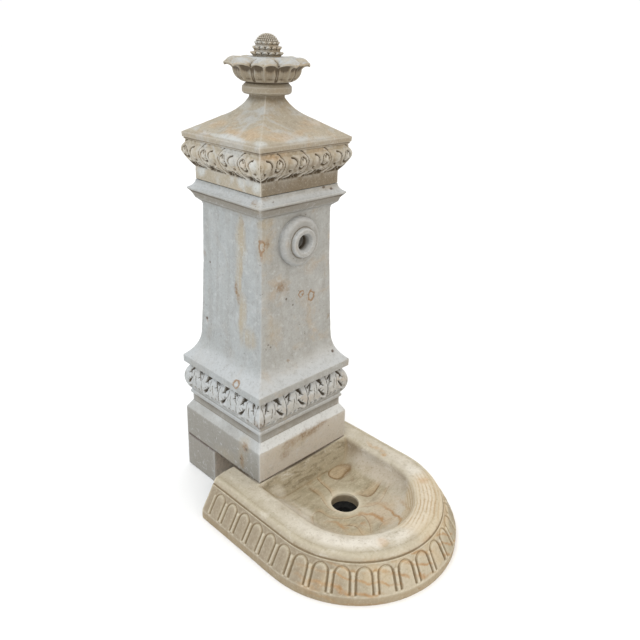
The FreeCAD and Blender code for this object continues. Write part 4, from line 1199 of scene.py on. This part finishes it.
def basin_stone():
    """Cream and olive sandstone with contour veins, wood-like grain and ochre bedding."""
    t = Tree("basin_stone")
    wavy = t.stirred(80, 60)
    ragged = t.stirred(24, 24)
    t.base = t.mix(t.noise(120, 5), (0.325, 0.280, 0.195), (0.44, 0.390, 0.290))
    bowl = t.spot(t.place, (0, -330, 50), (205, 200, 68), 0.35)
    olive = t.between(t.noise(60, 6, 0.65, 1.2), 0.40, 0.62, 0.0, 0.7)
    t.coat((0.285, 0.250, 0.165), bowl, olive)
    # painted shade: faces turned to the left and to the right darker and browner than the front
    left = t.facing((-1, 0, 0), 0.3, 0.9)
    t.coat((0.255, 0.202, 0.138), left, 0.9)
    right_side = t.facing((1, 0, 0), 0.2, 0.75)
    t.coat((0.245, 0.192, 0.12), right_side, 0.9)
    t.coat((0.47, 0.31, 0.17), t.spots(ragged, ((27, -482, 68), (42, 30, 20), 0.5),
                                       ((40, -448, 64), (60, 40, 26), 0.25)))
    t.coat((0.42, 0.40, 0.355), t.spots(ragged, ((139, -257, 85), (40, 36, 30), 0.35),
                                        ((165, -290, 96), (30, 50, 22), 0.45)))
    contour = t.noise(300, 1.5, 0.4, 0.45)
    rings = t.lines(contour, 13.0, 0.075)
    patchy = t.between(t.noise(120, 3), 0.40, 0.52)
    bands = t.between(t.math("FRACT", t.math("ADD", t.times(contour, 13.0), 0.5)), 0.0, 0.5, 0.55,
                      0.0)
    bands = t.times(bands, patchy, bowl)
    t.coat((0.43, 0.30, 0.17), bands)
    t.coat((0.19, 0.115, 0.05), rings, bowl, patchy)
    bedded = t.noise(16, 5, 0.65, 0.4, t.scaled((0.35, 1.4, 1.4)))
    t.coat((0.20, 0.165, 0.10), bowl, t.between(bedded, 0.52, 0.7, 0.0, 0.65))
    t.coat((0.52, 0.46, 0.35), bowl, t.between(bedded, 0.46, 0.3, 0.0, 0.45))
    t.tint((0.95, 0.93, 0.885), bowl)
    ahead = t.spots(wavy, ((70, -440, 58), (120, 80, 40), 0.6),
                    ((150, -330, 84), (46, 150, 34), 0.5), ((-110, -400, 74), (50, 110, 34), 0.5))
    t.coat((0.50, 0.43, 0.335), ahead)
    # painted light on the front of the apron
    facade = t.times(t.facing((0, -1, 0), 0.45, 0.9),
                     t.spot(t.place, (-80, -600, 40), (230, 200, 90), 0.5))
    t.coat((0.60, 0.52, 0.40), facade, 0.3)
    # painted shade on the bowl's back wall, below the pillar
    behind = t.times(t.facing((0, -1, 0), 0.2, 0.6),
                     t.spot(t.place, (0, -200, 85), (230, 50, 60), 0.2))
    t.coat((0.27, 0.228, 0.148), behind, 0.75)
    t.coat((0.17, 0.135, 0.08), behind, t.between(bedded, 0.45, 0.62, 0.0, 0.8))
    walls = t.spot(wavy, (0, -480, 88), (190, 110, 34), 0.5)
    t.coat((0.53, 0.46, 0.36), walls, 0.4)
    # painted light on the bowl's left inner wall
    left_wall = t.spot(wavy, (-128, -290, 92), (46, 130, 40), 0.6)
    t.coat((0.61, 0.565, 0.475), left_wall, 0.9)
    # painted highlight along the rim's crest
    crest = t.times(t.attribute("rim"), t.between(t.noise(90, 5, 0.6, 0.6), 0.28, 0.5))
    t.coat((0.71, 0.67, 0.60), crest, 0.8)
    upper = t.level(112, 20, 0.25, y=-300)
    blotch = t.noise(42, 7, 0.7, 0.3, t.scaled((1, 1, 2.5)))
    t.coat((0.33, 0.28, 0.205), upper, t.between(blotch, 0.48, 0.72, 0.0, 0.5))
    t.coat((0.70, 0.67, 0.61), upper, t.between(blotch, 0.50, 0.28, 0.0, 0.4))
    right = t.spot(wavy, (150, -560, 105), (210, 130, 40), 0.3)
    sides = t.vector("SUBTRACT", t.stirred(230, 40), (-0.03, -0.34, 0.0))
    sides = t.vector("MULTIPLY", sides, (1, 1, 1.2))
    grain_lines = t.lines(t.vector("LENGTH", sides), 112.0, 0.34)
    broken = t.between(t.noise(70, 5, 0.6, 0.5), 0.32, 0.6, 0.1, 0.8)
    t.coat((0.54, 0.44, 0.29), right, 0.6)
    t.coat((0.36, 0.235, 0.115), grain_lines, broken, right)
    bedding = t.vector("DOT_PRODUCT", wavy, (0.34, 0.10, 1.0))
    apron = t.spot(wavy, (-70, -590, 45), (330, 270, 70), 0.4)
    veins = t.times(t.lines(bedding, 38.0, 0.24), t.between(t.noise(90, 4), 0.40, 0.54))
    t.coat((0.34, 0.19, 0.075), veins, apron, 0.95)
    t.coat((0.50, 0.37, 0.21), apron, t.between(t.noise(55, 5), 0.45, 0.7, 0.0, 0.4))
    t.coat((0.44, 0.25, 0.10), t.spots(ragged, ((191, -327, 112), (12, 14, 14), 0.6),
                                       ((180, -484, 112), (26, 20, 14), 0.5),
                                       ((200, -290, 113), (14, 60, 8), 0.4),
                                       ((-97, -560, 113), (26, 22, 12), 0.4),
                                       ((-274, -476, 30), (30, 40, 14), 0.4)))
    # painted shade on the right flank of the apron
    flank = t.spot(t.place, (190, -600, 30), (200, 200, 66), 0.4)
    t.tint((0.80, 0.79, 0.73), flank, 0.6)
    # a darker brown band round the foot: the stone's brown edge, deepened with painted shade
    foot = t.spot(t.place, (0, -370, 0), (900, 900, 28), 0.25)
    t.coat((0.27, 0.195, 0.105), foot, 0.6)
    specks = grained(t, (0.215, 0.17, 0.10), 0.62, (0.64, 0.58, 0.46), 0.3, (0.64, 0.585, 0.46),
                     0.65)
    # painted shadow in the joint where the plinth sits on the basin, along its front and both sides
    bed_joint_shadow = t.spots(t.place, ((0, -176, 115), (184, 5, 9), 0.9),
                    ((-177, -80, 115), (5, 104, 9), 0.9), ((177, -80, 115), (5, 104, 9), 0.9))
    t.coat((0.07, 0.05, 0.03), bed_joint_shadow)
    # painted shade down in the drain hole
    hole = t.spot(t.place, (0, -345.5, 30), (90, 90, 25), 0.2)
    t.coat((0.165, 0.125, 0.075), hole, 0.8)
    grimed_and_shaded(t, (0.25, 0.18, 0.095), 0.05, 0.6, (0.13, 0.09, 0.045), 0.45, 1.0, 0.5)
    return stone(t, specks, 0.55, 0.8, (t.noise(20, 4), 0.6))


def aged(name, low, high, size, metallic, rough_low, rough_high, bump_depth=0.05, specular=0.5):
    """A metal, plastic, rubber or mortar whose colour and gloss vary over it."""
    t = Tree(name)
    t.shader.inputs["Specular IOR Level"].default_value = specular
    patches = t.noise(size, 5, 0.6)
    fine = t.noise(size / 9, 3, 0.7)
    t.shader.inputs["Metallic"].default_value = metallic
    return t.finish(t.mix(t.between(patches, 0.3, 0.7), low, high),
                    t.between(fine, 0.25, 0.75, rough_low, rough_high), [(fine, bump_depth)])


AGED = {        # two colours, patch size, metallic, least and most rough, then bump and specular
    "mortar": ((0.20, 0.17, 0.13), (0.34, 0.30, 0.24), 14, 0, 0.85, 0.95, 0.4),
    "stainless_steel": ((0.50, 0.50, 0.49), (0.62, 0.62, 0.60), 9, 1, 0.28, 0.45),
    "copper": ((0.38, 0.17, 0.09), (0.62, 0.30, 0.17), 22, 1, 0.3, 0.55),
    "nickelled_brass": ((0.52, 0.49, 0.42), (0.66, 0.63, 0.56), 9, 1, 0.22, 0.42),
    "bare_brass": ((0.36, 0.25, 0.10), (0.60, 0.44, 0.18), 9, 1, 0.3, 0.5),
    "chromed_steel": ((0.66, 0.66, 0.66), (0.78, 0.78, 0.78), 8, 1, 0.06, 0.14, 0.01),
    "white_plastic": ((0.74, 0.73, 0.69), (0.84, 0.83, 0.80), 6, 0, 0.4, 0.55),
    "handle_enamel": ((0.33, 0.03, 0.025), (0.48, 0.05, 0.04), 10, 0, 0.28, 0.42),
    "lagging_foam": ((0.03, 0.03, 0.035), (0.07, 0.07, 0.075), 8, 0, 0.85, 0.97, 0.5),
    "black_plastic": ((0.008, 0.008, 0.008), (0.018, 0.018, 0.017), 12, 0, 0.7, 0.85, 0.05, 0.12),
    "black_rubber": ((0.012, 0.012, 0.012), (0.026, 0.025, 0.024), 8, 0, 0.6, 0.8),
}
MATERIALS = {"pillar_stone": pillar_stone(), "cap_stone": cap_stone(), "basin_stone": basin_stone()}
MATERIALS.update({name: aged(name, *look) for name, look in AGED.items()})


def dress_cad_nodes():
    """Every CAD node that stays visible gets the material of its slot."""
    for part in frame["record"]["subparts"]:
        node = frame["nodes"][part["node"]]
        node.data.materials.clear()
        node.data.materials.append(MATERIALS[part["material_slot"]])


# ---- floor, light, camera
FLOOR_HALF = 30                 # metres
KEY_PLACE = (-2.4, -1.2, 3.6)
KEY_TARGET = (0, -0.2, 0.6)
SKY_SHADES = (("X", (0.93, 1.0, 1.07, 1.0)), ("Y", (1.0, 0.93, 0.84, 1.0)))


def build_stage():
    mesh = bpy.data.meshes.new("floor")
    a = FLOOR_HALF
    mesh.from_pydata([(-a, -a, 0), (a, -a, 0), (a, a, 0), (-a, a, 0)], [], [(0, 1, 2, 3)])
    floor = bpy.data.objects.new("floor", mesh)
    bpy.context.scene.collection.objects.link(floor)
    t = Tree("floor")
    floor.data.materials.append(
        t.finish(t.mix(t.noise(900, 3), (0.88, 0.88, 0.88), (0.91, 0.91, 0.91)), 0.9))


def build_key():
    """A soft lamp high on the left."""
    light = bpy.data.lights.new("key", "AREA")
    light.shape = "DISK"
    light.size = 1.6
    light.energy = 30
    light.color = (0.97, 0.99, 1.0)
    lamp = bpy.data.objects.new("key", light)
    bpy.context.scene.collection.objects.link(lamp)
    lamp.location = KEY_PLACE
    aim = Vector(KEY_TARGET) - Vector(KEY_PLACE)
    lamp.rotation_euler = aim.to_track_quat("-Z", "Y").to_euler()


def build_world():
    """A white studio, a little brighter overhead, cool to the left and warm in front."""
    world = bpy.data.worlds.new("studio")
    bpy.context.scene.world = world
    world.use_nodes = True
    nodes, links = world.node_tree.nodes, world.node_tree.links
    place = nodes.new("ShaderNodeTexCoord")
    split = nodes.new("ShaderNodeSeparateXYZ")
    links.new(place.outputs["Generated"], split.inputs[0])
    tint = (1.0, 1.0, 1.0, 1.0)
    for axis, shade in SKY_SHADES:
        side = nodes.new("ShaderNodeMapRange")
        side.inputs["From Min"].default_value = 0.0
        side.inputs["From Max"].default_value = -0.8
        mix = nodes.new("ShaderNodeMix")
        mix.data_type = "RGBA"
        links.new(split.outputs[axis], side.inputs["Value"])
        links.new(side.outputs["Result"], mix.inputs["Factor"])
        if isinstance(tint, tuple):
            mix.inputs["A"].default_value = tint
        else:
            links.new(tint, mix.inputs["A"])
        mix.inputs["B"].default_value = shade
        tint = mix.outputs["Result"]
    ramp = nodes.new("ShaderNodeMapRange")
    ramp.inputs["From Min"].default_value = 0.1
    ramp.inputs["From Max"].default_value = 0.9
    ramp.inputs["To Min"].default_value = 1.02
    ramp.inputs["To Max"].default_value = 1.45
    links.new(split.outputs["Z"], ramp.inputs["Value"])
    background = nodes["Background"]
    links.new(tint, background.inputs["Color"])
    links.new(ramp.outputs["Result"], background.inputs["Strength"])


CAMERA_PLACE = (-1.17975, -1.36861, 1.32680)
CAMERA_HEADING = 45.679         # degrees from +Y towards +X
CAMERA_PITCH = 20.950           # degrees below the horizon
CAMERA_ROLL = 1.906
CAMERA_LENS = 37.51             # mm, on a 36 mm sensor
CAMERA_SHIFT = -0.06            # of the frame, downwards


def build_camera():
    heading, pitch, roll = map(math.radians, (CAMERA_HEADING, CAMERA_PITCH, CAMERA_ROLL))
    forward = Vector((math.sin(heading) * math.cos(pitch),
                      math.cos(heading) * math.cos(pitch), -math.sin(pitch)))
    right = Vector((math.cos(heading), -math.sin(heading), 0))
    up = right.cross(forward)
    right, up = (right * math.cos(roll) + up * math.sin(roll),
                 up * math.cos(roll) - right * math.sin(roll))
    data = bpy.data.cameras.new("camera")
    data.sensor_width = 36.0
    data.lens = CAMERA_LENS
    data.shift_y = CAMERA_SHIFT
    data.clip_start = 0.05
    data.clip_end = 100.0
    camera = bpy.data.objects.new("camera", data)
    bpy.context.scene.collection.objects.link(camera)
    turn = Matrix((right, up, -forward)).transposed()
    camera.matrix_world = Matrix.Translation(CAMERA_PLACE) @ turn.to_4x4()
    bpy.context.scene.camera = camera


build_camera()
build_stage()
build_world()
build_key()
dress_cad_nodes()
build_base_block()
build_rear_block()
build_shaft_block()
build_outlet_rose()
build_cap_block()
build_finial()
build_basin()
bpy.context.scene.view_settings.view_transform = "Standard"
